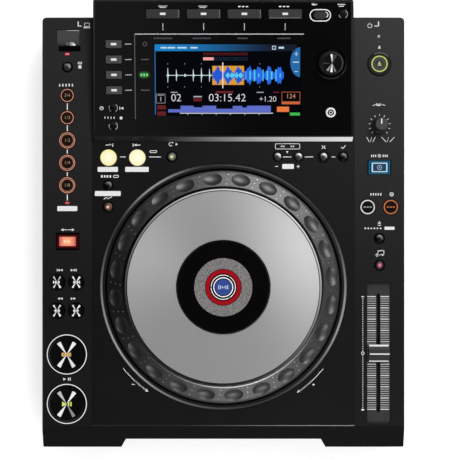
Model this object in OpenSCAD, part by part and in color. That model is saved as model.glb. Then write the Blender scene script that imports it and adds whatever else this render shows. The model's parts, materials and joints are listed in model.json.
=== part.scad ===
// Tabletop disc player for DJs, with its pieces at rest.
// X runs to the right, Y to the back and Z up. The origin is on the table, under the middle of the player.

/* [Body] */
// Width across the body
body_w = 308; // [302:1:316]
// Depth from the front legs to the back of the display unit
body_d = 380; // [377:1:388]
// Height of the deck above the table
deck_z = 75; // [73:0.5:78]
// Height of the rubber feet
foot_h = 6; // [5:0.5:7]
// Thickness of the moulded deck
deck_t = 3; // [2.6:0.2:3.4]
// Thickness of the moulded side walls
wall_t = 2.5; // [2:0.25:3]
// Thickness of the metal bottom
sheet_t = 2; // [1.5:0.25:2.5]
// Height of the metal bottom's rim
rim_h = 6; // [5:0.5:7]
// Corner radius of the body in plan
corner_r = 4; // [3:0.5:5]
// How far the display unit reaches back past the body
overhang = 11.6; // [10:0.2:13]
// Width of the strip of keys down each side
strip_w = 42.5; // [42:0.5:44]

/* [Front edge] */
// Depth in plan of the sloping front edge
slope_run = 18.4; // [17:0.2:20]
// Slope of the front edge, in degrees
slope_a = 16.5; // [14:0.5:20]
// How far the front wall leans out below the slope
front_lean = 2.6; // [2:0.1:3.5]
// Height over which the front wall leans
lean_h = 15.5; // [12:0.5:20]
// Width of the recess between the front legs
recess_w = 166; // [156:1:176]
// Depth of the recess
recess_d = 9.6; // [8:0.1:11]
// How far each side of the recess spreads towards the front
recess_splay = 5.5; // [3:0.5:8]
// Width of the disc slot
slot_w = 124; // [123:0.5:130]
// Height of the disc slot's opening
slot_h = 5; // [4.8:0.1:6]
// Height of the disc slot's middle above the table
slot_z = 40.5; // [38:0.5:42]

/* [Display unit] */
// Width of the display unit where it stands on the deck
display_w = 221.4; // [219:0.2:222]
// Depth of the display unit
display_d = 117.1; // [115:0.1:119]
// Tilt of the display face, in degrees
tilt = 8; // [7:0.25:9]
// Rise of the trim strip along the front of the display unit
trim_rise = 7; // [6:0.25:8]
// Depth in plan of the trim strip
trim_run = 3.4; // [3:0.1:4]
// Inward lean of the display unit's sides, as mm per mm of height
draft = 0.097; // [0.08:0.001:0.12]
// Width of the bevel round the display unit
bevel = 1.5; // [1:0.25:2]
// Wall of the display unit
display_wall = 2.5; // [2:0.25:3]
// Thickness of the glossy face panel
panel_t = 2.5; // [2:0.25:3]
// Width of the screen
screen_w = 123.3; // [118:0.1:125]
// Height of the screen along the face
screen_h = 59.6; // [56:0.5:61]

/* [Jog dial] */
// Distance from the front legs to the jog dial's axis
jog_from_front = 139.5; // [139:0.25:141]
// Outer radius of the fixed bezel
bezel_r = 104.6; // [103.5:0.1:105.5]
// Height of the bezel above the deck
bezel_h = 3; // [2:0.25:4]
// Outer radius of the turning ring
ring_r = 98.5; // [97.5:0.1:99]
// Inner radius of the turning ring
ring_bore_r = 84; // [83.7:0.1:84.4]
// Radius of the metal plate with its rim
plate_r = 83; // [82:0.1:83.4]
// Thickness of the metal plate
plate_t = 3; // [2.5:0.25:3.5]
// Radius of the round display at the middle
hub_display_r = 39; // [38:0.25:40]
// Height of the plate above the deck
plate_h = 12.6; // [12.4:0.1:13.2]
// Number of finger dimples round the ring
dimples = 24; // [20:1:26]
// Length of a finger dimple along the ring
dimple_l = 16.5; // [14:0.5:17]
// Width of a finger dimple across the ring
dimple_w = 11; // [9:0.25:11.5]
// Depth of a finger dimple
dimple_depth = 1.7; // [1.2:0.1:1.9]
// Radius of the fixed post that the jog dial turns on
post_r = 30; // [27:0.5:31]

/* [Keys] */
// Radius of the play and cue keys
transport_r = 15; // [14:0.25:15.5]
// Radius of the four search keys
search_r = 6.2; // [5.5:0.1:6.4]
// Radius of the two longest beat keys
beat_small_r = 5.7; // [5:0.1:6]
// Radius of the three short beat keys
beat_large_r = 7; // [6.4:0.1:7.2]
// Radius of the loop in and loop out keys
loop_r = 6.9; // [6.2:0.1:7.2]
// Radius of the sync and master keys
sync_r = 6.4; // [5.8:0.1:6.5]
// Radius of the disc eject key
eject_r = 7.5; // [7:0.1:8]
// Radius of the small round keys
small_r = 3.8; // [3.3:0.1:4.2]
// Width of the direction and jog mode keys
mode_w = 15.3; // [14:0.1:16]
// Depth of the direction and jog mode keys
mode_d = 9.3; // [8.5:0.1:10]
// Width of a menu key above the screen
menu_w = 27.6; // [25:0.2:28.4]
// Depth of a menu key
menu_d = 7.5; // [7:0.1:8]
// Width of a source key beside the screen
source_w = 13.2; // [12:0.1:14]
// Depth of a source key
source_d = 6.5; // [6:0.1:7]
// Gap between a key and its hole
key_gap = 0.4; // [0.35:0.05:0.5]
// Travel of a key
key_travel = 1; // [0.8:0.1:1.1]

/* [Knobs and slider] */
// Radius of the speed knob at its foot
speed_r = 6.5; // [6:0.1:7]
// Height of the speed knob
speed_h = 16; // [14:0.5:18]
// Radius of the selector's fixed collar
collar_r = 13.7; // [13:0.1:14]
// Radius of the selector knob
selector_r = 10; // [9:0.1:10.5]
// Height of the selector knob above the face
selector_h = 16.6; // [14:0.2:17.4]
// Width of the slider's recess
recess_x = 19.9; // [19:0.1:20.5]
// Length of the slider's recess
recess_y = 119.6; // [117:0.2:120]
// Depth of the slider's recess
recess_z = 2.5; // [1.6:0.1:2.6]
// Travel of the slider from end to end
slider_travel = 94; // [88:1:96]
// Width of the slider's cap
slider_w = 17.8; // [16:0.1:18.3]
// Length of the slider's cap
slider_l = 15; // [13:0.1:15.4]
// Width of the door over the memory socket
door_w = 18.7; // [17:0.1:19.4]
// Length of the door over the memory socket
door_l = 12.5; // [11.5:0.1:13]

/* [Disc drive] */
// Width of the disc drive
drive_w = 146; // [140:1:148]
// Depth of the disc drive
drive_d = 172; // [168:1:176]
// Travel of the pickup from the hub outward
pickup_travel = 35; // [33:0.5:36]
// Radius of the pickup's guide rods
rod_r = 1.5; // [1.3:0.1:1.7]

/* [Hidden] */
$fn = 48;

// A cut runs this far past the face it opens
past = 1;
// Radial play of a shaft that turns or slides in its bore
run_fit = 0.05;
// Play between two pieces that lie next to each other
seat_gap = 0.3;

// Main planes of the body
front_y = -body_d / 2;
back_y = body_d / 2;
case_back_y = back_y - overhang;
deck_front_y = front_y + front_lean + slope_run;
recess_y0 = front_y + recess_d;
strip_edge_x = body_w / 2 - strip_w;
under_deck_z = deck_z - deck_t;
floor_z = foot_h + sheet_t;
rim_z = foot_h + rim_h;
edge_cut = 1;
side_taper = 0.3;

// Printed circuit board under the deck
board_t = 1.6;
flange_t = 1.2;
flange_lip = 1.3;
switch_gap = 0.2;
board_z = deck_z - 12;
switch_z = under_deck_z - seat_gap - flange_t - key_travel - switch_gap;
switch_r = 1.7;

// Display face: its front edge, and the distance along the slope to its back edge
face_y = back_y - display_d + trim_run;
face_z = deck_z + trim_rise;
face_l = (back_y - bevel - face_y) / cos(tilt);
display_front_y = back_y - display_d;
hang_z = deck_z - 13;
lean_top_z = deck_z + 40;
panel_inset = bevel + 0.3;
panel_gap = 0.15;
ledge_w = 1.5;
face_board_w = 6;
screen_x = 3.65;
screen_v = 47.7;

// Places of the keys beside the screen, as X and distance up the face
menu_x0 = -50.4;
menu_pitch = 34.04;
menu_v = face_l - 10.7;
source_x = -91.7;
source_v0 = 39.2;
source_pitch = 12.8;
back_at = [81, face_l - 11.7];
tag_at = [100.1, face_l - 10.9];
time_at = [-92.6, 24.4];
quantize_at = [-92.8, 9.2];
selector_at = [90.2, 62];
back_w = 11;
back_d = 6;
face_key_h = 0.8;
face_switch_w = panel_t + seat_gap + flange_t + key_travel + switch_gap;

// Places of the keys on the deck
column_x = body_w / 2 - 21.4;
pair_x = 8.1;
pair_mid_x = column_x + 0.5;
usb_stop_at = [-column_x, case_back_y - 42.4];
beat_at = [
    [-column_x, case_back_y - 66.5], [-column_x, case_back_y - 85.4],
    [-column_x, case_back_y - 104.7], [-column_x, case_back_y - 123.7],
    [-column_x, case_back_y - 142.8]
];
direction_at = [-column_x + 0.3, front_y + 177.9];
track_back_at = [-pair_mid_x - pair_x, front_y + 143.3];
track_next_at = [-pair_mid_x + pair_x, front_y + 143.3];
search_back_at = [-pair_mid_x - pair_x, front_y + 119.1];
search_next_at = [-pair_mid_x + pair_x, front_y + 119.1];
cue_at = [-column_x - 0.3, front_y + 81.9];
play_at = [-column_x - 0.3, front_y + 39.9];
deck_row_y = display_front_y - 13.8;
loop_in_at = [-97.6, deck_row_y];
loop_out_at = [-73.1, deck_row_y];
reloop_at = [-43.8, deck_row_y + 0.7];
four_beat_at = [-97.9, display_front_y - 37.3];
slip_at = [-98, display_front_y - 55.8];
call_back_at = [46.2, deck_row_y + 0.8];
call_next_at = [63.9, deck_row_y + 0.8];
delete_at = [85.2, deck_row_y + 0.8];
memory_at = [101.9, deck_row_y + 0.8];
eject_at = [column_x, case_back_y - 39.7];
speed_at = [column_x + 0.2, case_back_y - 91.8];
jog_mode_at = [column_x, case_back_y - 127.7];
sync_at = [column_x - 10, case_back_y - 161.3];
master_at = [column_x + 9.6, case_back_y - 161.3];
tempo_range_at = [column_x, front_y + 180.4];
key_lock_at = [column_x + 0.2, front_y + 157.7];
round_keys = [
    [usb_stop_at, small_r], [beat_at[0], beat_small_r], [beat_at[1], beat_small_r],
    [beat_at[2], beat_large_r], [beat_at[3], beat_large_r], [beat_at[4], beat_large_r],
    [track_back_at, search_r], [track_next_at, search_r], [search_back_at, search_r],
    [search_next_at, search_r], [cue_at, transport_r], [play_at, transport_r],
    [loop_in_at, loop_r], [loop_out_at, loop_r], [reloop_at, small_r],
    [four_beat_at, small_r], [slip_at, small_r], [call_back_at, small_r],
    [call_next_at, small_r], [delete_at, small_r], [memory_at, small_r],
    [eject_at, eject_r], [sync_at, sync_r], [master_at, sync_r],
    [tempo_range_at, small_r], [key_lock_at, small_r]
];
mode_keys = [direction_at, jog_mode_at];
collars = [
    [play_at, transport_r, transport_r + 2.1, 0.8], [cue_at, transport_r, transport_r + 2.1, 0.8],
    [eject_at, eject_r, eject_r + 2.6, 1.6], [delete_at, small_r, small_r + 1.5, 0.8]
];
mode_corner = 0.8;
key_h = 0.9;

// Tempo slider
slider_x = column_x - 0.7;
recess_mid_x = column_x - 0.35;
recess_front_y = front_y + 23.1;
slider_y = front_y + 83;
slider_slot_w = 3;
slider_stem_w = slider_slot_w - 2 * seat_gap;
slider_stem_l = 4;
fader_w = 13;
fader_end = 6;
slider_pad_t = 2.3;
slider_ridge_h = 11.5;

// Door over the memory socket, with its hinge pin near the back edge
door_x = column_x - 0.7;
door_back_y = case_back_y - 10.75;
door_t = 1.8;
door_pin_r = 0.8;
door_barrel_r = 1.5;
door_pin_l = 1.8;
door_axis_y = door_back_y - door_barrel_r;
door_axis_z = deck_z - door_barrel_r;
door_gap = 0.25;

// Screws that hold the deck down, in two rows of three, in pillars that merge with the side walls
pillar_r = 4;
pillar_sink = 0.5;
post_x = body_w / 2 - wall_t - pillar_r + pillar_sink;
post_ys = [front_y + 61, front_y + 194, case_back_y - 12];
screw_r = 1.5;
screw_l = 13;

// Boards that stand in the bottom case beside the drive
side_board_in = drive_w / 2 + 10;
side_board_out = post_x - pillar_r - 2;
side_board_x = (side_board_in + side_board_out) / 2;
side_board_w = side_board_out - side_board_in;
side_board_margin = 59.2;
screw_head_r = 2.8;
screw_head_h = 1.4;

// Jog dial, with heights counted from the deck
jog_y = front_y + jog_from_front;
well_r = bezel_r - 2.9;
bezel_bore_r = well_r - 1.8;
well_floor = -13;
well_floor_t = 2;
pedestal_t = 3;
post_wall = 3;
web_top = plate_h - plate_t - 0.8;
web_t = 2.5;
window_z = web_top + 0.5;
window_top = plate_h + 0.6;
ring_top = plate_h - 0.6;
ring_edge = 8;
ring_skirt = -1;
rim_groove = 0.5;
plate_rim_w = 1.6;
plate_pin_r = 2;
plate_pin_at_r = 62;
first_dimple = 80.6;
dimple_at_r = ring_bore_r + 7.2;
ring_slope = atan((ring_top - ring_edge) / (ring_r - 2 - ring_bore_r));

// Disc drive
drive_z = 13;
drive_h = 37;
drive_t = 1.5;
drive_front_y = recess_y0 + 8;
drive_back_y = drive_front_y + drive_d;
spindle_y = drive_front_y + 82;
spindle_r = 1;
turntable_r = 13;
hub_r = 7.4;
roller_y = drive_front_y + 14;
roller_r = 3.6;
disc_z = slot_z;
roller_z = disc_z - 0.6 - roller_r;
guide_x = 26;
guide_z = disc_z - 13;
guide_y0 = spindle_y + 12;
guide_y1 = guide_y0 + pickup_travel + 38;
screw_x = 37;
sled_l = 22;
damper_r = 5;

// Back panel and its sockets
panel_x = body_w / 2 - 13;
panel_top = deck_z - 11;
panel_y = case_back_y - 4.2;
panel_plate_t = 1.5;
socket_z = 33;
inlet_x = 48 - body_w / 2;
coax_x = [-62, -40, -18];
coax_r = 4.15;
coax_l = 8;
control_x = 8;
control_r = 1.75;
lan_x = 38;
usb_b_x = 64;
switch_x = body_w / 2 - 50;
switch_travel = 3;

// A rectangle with round corners, centred
module rounded(w, d, r) {
    union() {
        square([w - 2 * r, d], center = true);
        square([w, d - 2 * r], center = true);
        for (x = [-1, 1], y = [-1, 1])
            translate([x * (w / 2 - r), y * (d / 2 - r)])
                circle(r);
    }
}

// A slot with round ends, centred, its long way along X
module slot_shape(w, d) {
    union() {
        square([w - d, d], center = true);
        for (x = [-1, 1])
            translate([x * (w - d) / 2, 0])
                circle(d / 2);
    }
}

// Places its children on the display face: X, distance up the slope, height off the face
module on_face() {
    translate([0, face_y, face_z])
        rotate([tilt, 0, 0])
            children();
}

// Outline of the body in plan, drawn in by an amount
module body_outline(inset = 0) {
    half_w = body_w / 2;
    offset(delta = -inset)
        offset(r = corner_r)
            offset(delta = -corner_r)
                polygon([
                    [-half_w, case_back_y], [-half_w, deck_front_y],
                    [-half_w + side_taper, front_y],
                    [-recess_w / 2 - recess_splay, front_y], [-recess_w / 2, recess_y0],
                    [recess_w / 2, recess_y0], [recess_w / 2 + recess_splay, front_y],
                    [half_w - side_taper, front_y], [half_w, deck_front_y],
                    [half_w, case_back_y]
                ]);
}

// A shape drawn in Y and Z, drawn out across the whole width
module across(w) {
    translate([-w / 2, 0, 0])
        rotate([90, 0, 90])
            linear_extrude(w)
                children();
}

// Side view of the body, drawn in by amounts at the deck with its slope, and at the front wall
module body_side(t = 0, wall = 0) {
    slope_shift = t / cos(slope_a);
    front_top = deck_z - (slope_run - wall) * tan(slope_a) - slope_shift;
    knee_y = deck_front_y + (slope_shift - t) / tan(slope_a);
    polygon([
        [front_y + wall, 0], [front_y + wall, deck_z - slope_run * tan(slope_a) - lean_h],
        [front_y + front_lean + wall, front_top], [knee_y, deck_z - t],
        [case_back_y - edge_cut, deck_z - t], [case_back_y, deck_z - t - edge_cut],
        [case_back_y, 0]
    ]);
}

// The outside of the moulded case, as one block
module case_block() {
    half_w = body_w / 2;
    intersection() {
        translate([0, 0, rim_z])
            linear_extrude(deck_z)
                body_outline();
        across(body_w)
            body_side();
        translate([0, back_y, 0])
            rotate([90, 0, 0])
                linear_extrude(body_d)
                    polygon([
                        [-half_w, 0], [-half_w, deck_z - edge_cut],
                        [-half_w + edge_cut, deck_z], [half_w - edge_cut, deck_z],
                        [half_w, deck_z - edge_cut], [half_w, 0]
                    ]);
    }
}

module case_cavity() {
    intersection() {
        linear_extrude(deck_z)
            body_outline(wall_t);
        across(body_w)
            body_side(deck_t, wall_t);
    }
}

// Holes through the deck for the keys, the knob, the slider and the door
module deck_holes() {
    cut_z = under_deck_z - past;
    cut_h = deck_t + 2 * past;
    for (k = round_keys)
        translate([k[0][0], k[0][1], cut_z])
            cylinder(r = k[1] + key_gap, h = cut_h);
    for (k = mode_keys)
        translate([k[0], k[1], cut_z])
            linear_extrude(cut_h)
                rounded(mode_w + 2 * key_gap, mode_d + 2 * key_gap, mode_corner);
    translate([speed_at[0], speed_at[1], cut_z])
        cylinder(r = speed_r / 2 + run_fit, h = cut_h);
    translate([0, jog_y, cut_z])
        cylinder(r = well_r + seat_gap, h = cut_h, $fn = 96);
    translate([-strip_edge_x + 14, display_front_y + 10, cut_z])
        cube([2 * strip_edge_x - 28, case_back_y - display_front_y - 24, cut_h]);
}

module slider_cuts() {
    translate([recess_mid_x - recess_x / 2, recess_front_y, deck_z - recess_z])
        cube([recess_x, recess_y, recess_z + past]);
    translate([slider_x, slider_y, deck_z - recess_z - slider_pad_t - past])
        rotate([0, 0, 90])
            linear_extrude(slider_pad_t + 2 * past)
                slot_shape(slider_travel + slider_stem_l + slider_slot_w, slider_slot_w);
}

module door_cuts() {
    opening_w = door_w + 2 * door_gap;
    translate([-door_x - opening_w / 2, door_back_y - door_l - door_gap, under_deck_z - past])
        cube([opening_w, door_l + 2 * door_gap, deck_t + 2 * past]);
    translate([-door_x, door_axis_y, door_axis_z])
        rotate([0, 90, 0])
            cylinder(r = door_pin_r + run_fit, h = opening_w + 2 * door_pin_l, center = true);
    translate([-door_x, door_back_y - door_l, deck_z + 2.6])
        sphere(r = 4.6);
}

// Raised collars round some of the keys
module key_collars() {
    for (c = collars)
        translate([c[0][0], c[0][1], under_deck_z])
            rotate_extrude()
                polygon([
                    [c[1], 0.5], [c[2], 0.5], [c[2], deck_t + 0.5],
                    [c[2] - 0.4, deck_t + c[3]], [c[1], deck_t + c[3]]
                ]);
    translate([jog_mode_at[0], jog_mode_at[1], under_deck_z + 0.5])
        linear_extrude(deck_t)
            rounded(mode_w + 5.3, mode_d + 3.2, 1);
}

module top_case() {
    color("#26272a")
    difference() {
        union() {
            difference() {
                case_block();
                case_cavity();
            }
            // Pillars that take the case screws
            intersection() {
                case_block();
                for (x = [-post_x, post_x], y = post_ys)
                    translate([x, y, rim_z])
                        cylinder(r = pillar_r, h = deck_z - rim_z - edge_cut);
            }
            key_collars();
            // Short bosses that carry the board under the deck
            for (p = board_bosses)
                translate([p[0], p[1], board_z + board_t])
                    cylinder(r = 3, h = under_deck_z - board_z - board_t + edge_cut);
            // Thicker floor under the slider's recess
            translate([recess_mid_x - recess_x / 2 - wall_t, recess_front_y, deck_z - recess_z - slider_pad_t])
                cube([recess_x + 2 * wall_t, recess_y, slider_pad_t]);
            // Throat behind the disc slot
            translate([-slot_w / 2 - 4, recess_y0 + wall_t / 2, slot_z - slot_h / 2 - 2])
                cube([slot_w + 8, 8 - wall_t / 2 - seat_gap, slot_h + 4]);
        }
        deck_holes();
        slider_cuts();
        door_cuts();
        translate([0, recess_y0 + 9, slot_z])
            rotate([90, 0, 0])
                linear_extrude(20)
                    slot_shape(slot_w, slot_h);
        // Fine grooves between the middle of the deck and the side strips
        for (x = [-1, 1])
            translate([x * strip_edge_x - 0.3, deck_front_y, deck_z - 0.4])
                cube([0.6, display_front_y - deck_front_y, past]);
        // Opening for the back panel
        translate([-panel_x - 1, case_back_y - wall_t - past, 0])
            cube([2 * panel_x + 2, wall_t + 2 * past, panel_top + 2]);
        for (x = [-post_x, post_x], y = post_ys)
            translate([x, y, rim_z - past])
                cylinder(r = screw_r + run_fit, h = screw_l - foot_h / 2);
    }
}

board_bosses = [
    [-strip_edge_x - 4, front_y + 62], [strip_edge_x + 4, front_y + 62],
    [-strip_edge_x - 4, case_back_y - 84], [strip_edge_x + 4, case_back_y - 74],
    [0, deck_row_y + 4]
];

// Bent sheet tray under the player
module bottom_case() {
    color("#3a3b3e")
    difference() {
        union() {
            translate([0, 0, foot_h])
                linear_extrude(sheet_t)
                    body_outline(1);
            translate([0, 0, foot_h])
                linear_extrude(rim_h)
                    difference() {
                        body_outline(1);
                        body_outline(wall_t + 1.5);
                    }
            for (x = [-post_x, post_x], y = post_ys)
                translate([x, y, foot_h])
                    cylinder(r = pillar_r, h = rim_h);
            // Posts that carry the disc drive and the main board
            for (p = drive_posts)
                translate([p[0], p[1], foot_h])
                    cylinder(r = damper_r, h = drive_z - foot_h);
            for (p = board_posts)
                translate([p[0], p[1], foot_h])
                    cylinder(r = 3, h = drive_z - foot_h);
        }
        for (x = [-post_x, post_x], y = post_ys)
            translate([x, y, 0]) {
                cylinder(r = screw_r + run_fit, h = rim_z + past);
                cylinder(r = screw_head_r + 0.2, h = foot_h + screw_head_h + 0.2);
            }
        for (p = foot_places)
            translate([p[0], p[1], foot_h - past])
                cylinder(r = foot_stud_r + run_fit, h = sheet_t + 2 * past);
        // Cooling slots in the bottom
        for (x = [-1, 1], i = [0:vents - 1])
            translate([x * side_board_x, front_y + 120 + i * 8, foot_h - past])
                linear_extrude(sheet_t + 2 * past)
                    slot_shape(36, 3);
    }
}

// Panel that stands on the tray's rim and holds the sockets
module back_panel() {
    color("#3a3b3e")
    difference() {
        translate([-panel_x, panel_y, rim_z + seat_gap])
            cube([2 * panel_x, panel_plate_t, panel_top - rim_z - seat_gap]);
        translate([0, panel_y - past, socket_z])
            rotate([-90, 0, 0])
                linear_extrude(panel_plate_t + 2 * past)
                    socket_holes();
        // Cooling slots above the sockets
        for (i = [-6:6])
            translate([i * 9, panel_y - past, socket_z + 17])
                rotate([-90, 0, 0])
                    linear_extrude(panel_plate_t + 2 * past)
                        slot_shape(6, 2.4);
    }
}

vents = 7;
foot_r = 11;
foot_stud_r = 2.5;
foot_places = [for (x = [-1, 1], y = [front_y + 32, case_back_y - 28]) [x * (body_w / 2 - 26), y]];
drive_posts = [for (x = [-1, 1], y = [drive_front_y + 14, drive_back_y - 14]) [x * (drive_w / 2 - 12), y]];
board_posts = [for (x = [-1, 1] * side_board_x, y = [front_y + 70, front_y + 108, case_back_y - 68]) [x, y]];

// Holes in the back panel, drawn with Z downward
module socket_holes() {
    translate([inlet_x, 0])
        square([28, 21], center = true);
    for (x = coax_x)
        translate([x, 0])
            circle(5.2);
    translate([control_x, 0])
        circle(4.2);
    translate([lan_x, 0])
        square([17, 15], center = true);
    translate([usb_b_x, 0])
        square([13, 12], center = true);
    translate([switch_x, 0])
        square([16, 11], center = true);
}

module rubber_feet() {
    color("#151515")
    for (p = foot_places)
        translate([p[0], p[1], 0]) {
            difference() {
                rotate_extrude()
                    polygon([
                        [0, 0], [foot_r - 1, 0], [foot_r, 1], [foot_r, foot_h - 1],
                        [foot_r - 0.6, foot_h], [0, foot_h]
                    ]);
                translate([0, 0, -past])
                    cylinder(r = 3, h = 1.4 + past);
            }
            translate([0, 0, foot_h - edge_cut])
                cylinder(r = foot_stud_r, h = sheet_t + edge_cut);
        }
}

module case_screws() {
    color("#b8b8b8")
    for (x = [-post_x, post_x], y = post_ys)
        translate([x, y, foot_h]) {
            cylinder(r = screw_head_r, h = screw_head_h);
            cylinder(r = screw_r, h = screw_l);
        }
}

// Block of the display unit with leaning sides, drawn in by an amount
module display_block(inset) {
    low_w = display_w / 2 + (deck_z - hang_z + 4) * draft - inset;
    high_w = display_w / 2 - (lean_top_z - deck_z) * draft - inset;
    block_d = display_d + 40;
    hull() {
        translate([0, back_y - inset - block_d / 2, hang_z - 4])
            linear_extrude(0.1)
                rounded(2 * low_w, block_d, 2);
        translate([0, back_y - inset - block_d / 2, lean_top_z])
            linear_extrude(0.1)
                rounded(2 * high_w, block_d, 2);
    }
}

// Height of a plane below the face, at a given Y
function face_height(y, below) = face_z + (y - face_y) * tan(tilt) - below / cos(tilt);

module display_side() {
    polygon([
        [display_front_y, deck_z], [face_y, face_z],
        [back_y - bevel, face_height(back_y - bevel, 0)],
        [back_y, face_height(back_y, 0) - bevel],
        [back_y, hang_z], [case_back_y + seat_gap, hang_z], [case_back_y + seat_gap, deck_z]
    ]);
}

module display_hollow() {
    front = face_y + display_wall;
    back = back_y - display_wall;
    hang_front = case_back_y + seat_gap + display_wall;
    polygon([
        [front, deck_z - past], [front, face_height(front, face_board_w)],
        [back, face_height(back, face_board_w)], [back, hang_z + display_wall],
        [hang_front, hang_z + display_wall], [hang_front, deck_z + display_wall],
        [case_back_y - 4, deck_z + display_wall], [case_back_y - 4, deck_z - past]
    ]);
}

// Outline of the face panel, drawn in by an amount
module panel_outline(inset) {
    low_w = display_w / 2 - trim_rise * draft - inset;
    lean = face_l * sin(tilt) * draft;
    polygon([
        [-low_w, inset - 0.8], [low_w, inset - 0.8],
        [low_w - lean, face_l - inset + 0.5], [-low_w + lean, face_l - inset + 0.5]
    ]);
}

module display_housing() {
    lean_a = atan(sin(tilt) * draft);
    color("#232427")
    difference() {
        intersection() {
            display_block(0);
            across(body_w)
                display_side();
        }
        intersection() {
            display_block(display_wall);
            across(body_w)
                display_hollow();
        }
        // Bevel along both sides of the face
        for (x = [0, 1])
            mirror([x, 0, 0])
                on_face()
                    translate([display_w / 2 - trim_rise * draft - bevel, -20, 0])
                        rotate([0, 0, lean_a])
                            rotate([0, 45, 0])
                                cube([10, face_l + 60, 10]);
        // Step that the face panel lies in, and the opening behind it
        on_face()
            translate([0, 0, -panel_t])
                linear_extrude(panel_t + past)
                    panel_outline(panel_inset);
        on_face()
            translate([0, 0, -face_board_w - past])
                linear_extrude(face_board_w)
                    panel_outline(panel_inset + ledge_w);
    }
}

// Outlines of the keys on the face, grown by an amount
module menu_shapes(grow) {
    for (i = [0:3])
        translate([menu_x0 + i * menu_pitch, menu_v])
            rounded(menu_w + 2 * grow, menu_d + 2 * grow, 0.6 + grow);
}

module source_shapes(grow) {
    for (i = [0:3])
        translate([source_x, source_v0 + i * source_pitch])
            rounded(source_w + 2 * grow, source_d + 2 * grow, 0.6 + grow);
}

module back_shape(grow) {
    translate(back_at)
        slot_shape(back_w + 2 * grow, back_d + 2 * grow);
}

module display_panel() {
    color("#0c0c0e")
    on_face()
        difference() {
            translate([0, 0, -panel_t])
                linear_extrude(panel_t)
                    difference() {
                        panel_outline(panel_inset + panel_gap);
                        translate([screen_x, screen_v])
                            square([screen_w + 0.6, screen_h + 0.6], center = true);
                        menu_shapes(key_gap);
                        source_shapes(key_gap);
                        back_shape(key_gap);
                    }
            for (p = [tag_at, time_at, quantize_at])
                translate([p[0], p[1], -panel_t - past])
                    cylinder(r = small_r - 0.5 + key_gap, h = panel_t + 2 * past);
            translate([selector_at[0], selector_at[1], -panel_t - past])
                cylinder(r = selector_shaft_r + run_fit, h = panel_t + 2 * past);
        }
    // Raised collar round the selector
    color("#1b1b1d")
    on_face()
        translate([selector_at[0], selector_at[1], 0])
            rotate_extrude()
                polygon([
                    [selector_r + 1, -0.5], [collar_r, -0.5], [collar_r, 0.4],
                    [collar_r - 1.2, 1.4], [selector_r + 1.6, 0.6], [selector_r + 1, 0.4]
                ]);
}

module lcd_module() {
    color("#101820")
    on_face()
        translate([screen_x, screen_v, 0]) {
            translate([0, 0, -panel_t - 0.2])
                linear_extrude(panel_t - 0.1)
                    square([screen_w, screen_h], center = true);
            translate([0, 0, -face_board_w])
                linear_extrude(face_board_w - panel_t - 0.1)
                    square([screen_w + 8, screen_h + 8], center = true);
        }
}

// A round key as a turned shape, with its flange held under the deck
module turned_key(r, top, edge, roof) {
    flange_top = -roof - seat_gap;
    rotate_extrude()
        polygon([
            [0, flange_top - flange_t], [r + flange_lip, flange_top - flange_t],
            [r + flange_lip, flange_top], [r, flange_top],
            [r, top - edge], [r - edge, top], [0, top]
        ]);
}

module deck_key(at, r, top = key_h, edge = 0.4) {
    translate([at[0], at[1], deck_z])
        turned_key(r, top, edge, deck_t);
}

// A wide key with a hollowed face
module transport_key(at) {
    dish_r = 150;
    top = 2.4;
    sag = 0.5;
    difference() {
        deck_key(at, transport_r, top, 0.8);
        translate([at[0], at[1], deck_z + top - sag + dish_r])
            intersection() {
                sphere(r = dish_r, $fn = 96);
                cylinder(r = transport_r - 1.5, h = 4 * dish_r, center = true);
            }
    }
}

// A key whose lit ring stands round a lower middle
module ring_key(at, r, top = key_h) {
    difference() {
        deck_key(at, r, top);
        translate([at[0], at[1], deck_z + top - 0.35])
            cylinder(r = r - 1.3, h = past);
    }
}

// A key with a round top like a button head
module domed_key(at, r, top = 1.6) {
    dome_r = 2.2 * r;
    intersection() {
        deck_key(at, r, top, 0.2);
        translate([at[0], at[1], deck_z + top - dome_r])
            union() {
                sphere(r = dome_r);
                translate([0, 0, -top - deck_t - 4])
                    cylinder(r = r + 2, h = dome_r + deck_t);
            }
    }
}

module mode_key(at) {
    flange_top = under_deck_z - seat_gap;
    translate([at[0], at[1], 0]) {
        translate([0, 0, flange_top - flange_t])
            linear_extrude(flange_t)
                rounded(mode_w + 2 * flange_lip, mode_d + 2 * flange_lip, mode_corner);
        translate([0, 0, flange_top - flange_t])
            linear_extrude(deck_z + 1 - flange_top + flange_t)
                rounded(mode_w, mode_d, mode_corner);
        translate([0, 0, deck_z + 1])
            linear_extrude(0.4)
                rounded(mode_w - 0.8, mode_d - 0.8, mode_corner);
    }
}

module play_button() { color("#161616") transport_key(play_at); }
module cue_button() { color("#161616") transport_key(cue_at); }
module track_back_button() { color("#161616") deck_key(track_back_at, search_r, 1.4); }
module track_next_button() { color("#161616") deck_key(track_next_at, search_r, 1.4); }
module search_back_button() { color("#161616") deck_key(search_back_at, search_r, 1.4); }
module search_next_button() { color("#161616") deck_key(search_next_at, search_r, 1.4); }
module direction_button() { color("#e8836a") mode_key(direction_at); }
module beat_button_1() { color("#c98a6a") ring_key(beat_at[0], beat_small_r); }
module beat_button_2() { color("#c98a6a") ring_key(beat_at[1], beat_small_r); }
module beat_button_3() { color("#c98a6a") ring_key(beat_at[2], beat_large_r); }
module beat_button_4() { color("#c98a6a") ring_key(beat_at[3], beat_large_r); }
module beat_button_5() { color("#c98a6a") ring_key(beat_at[4], beat_large_r); }
module usb_stop_button() { color("#4a4a4a") domed_key(usb_stop_at, small_r); }
module loop_in_button() { color("#fff3b0") deck_key(loop_in_at, loop_r); }
module loop_out_button() { color("#fff3b0") deck_key(loop_out_at, loop_r); }
module reloop_button() { color("#9aa08a") domed_key(reloop_at, small_r); }
module four_beat_button() { color("#4a4a4a") domed_key(four_beat_at, small_r); }
module slip_button() { color("#c98a6a") domed_key(slip_at, small_r); }
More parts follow.
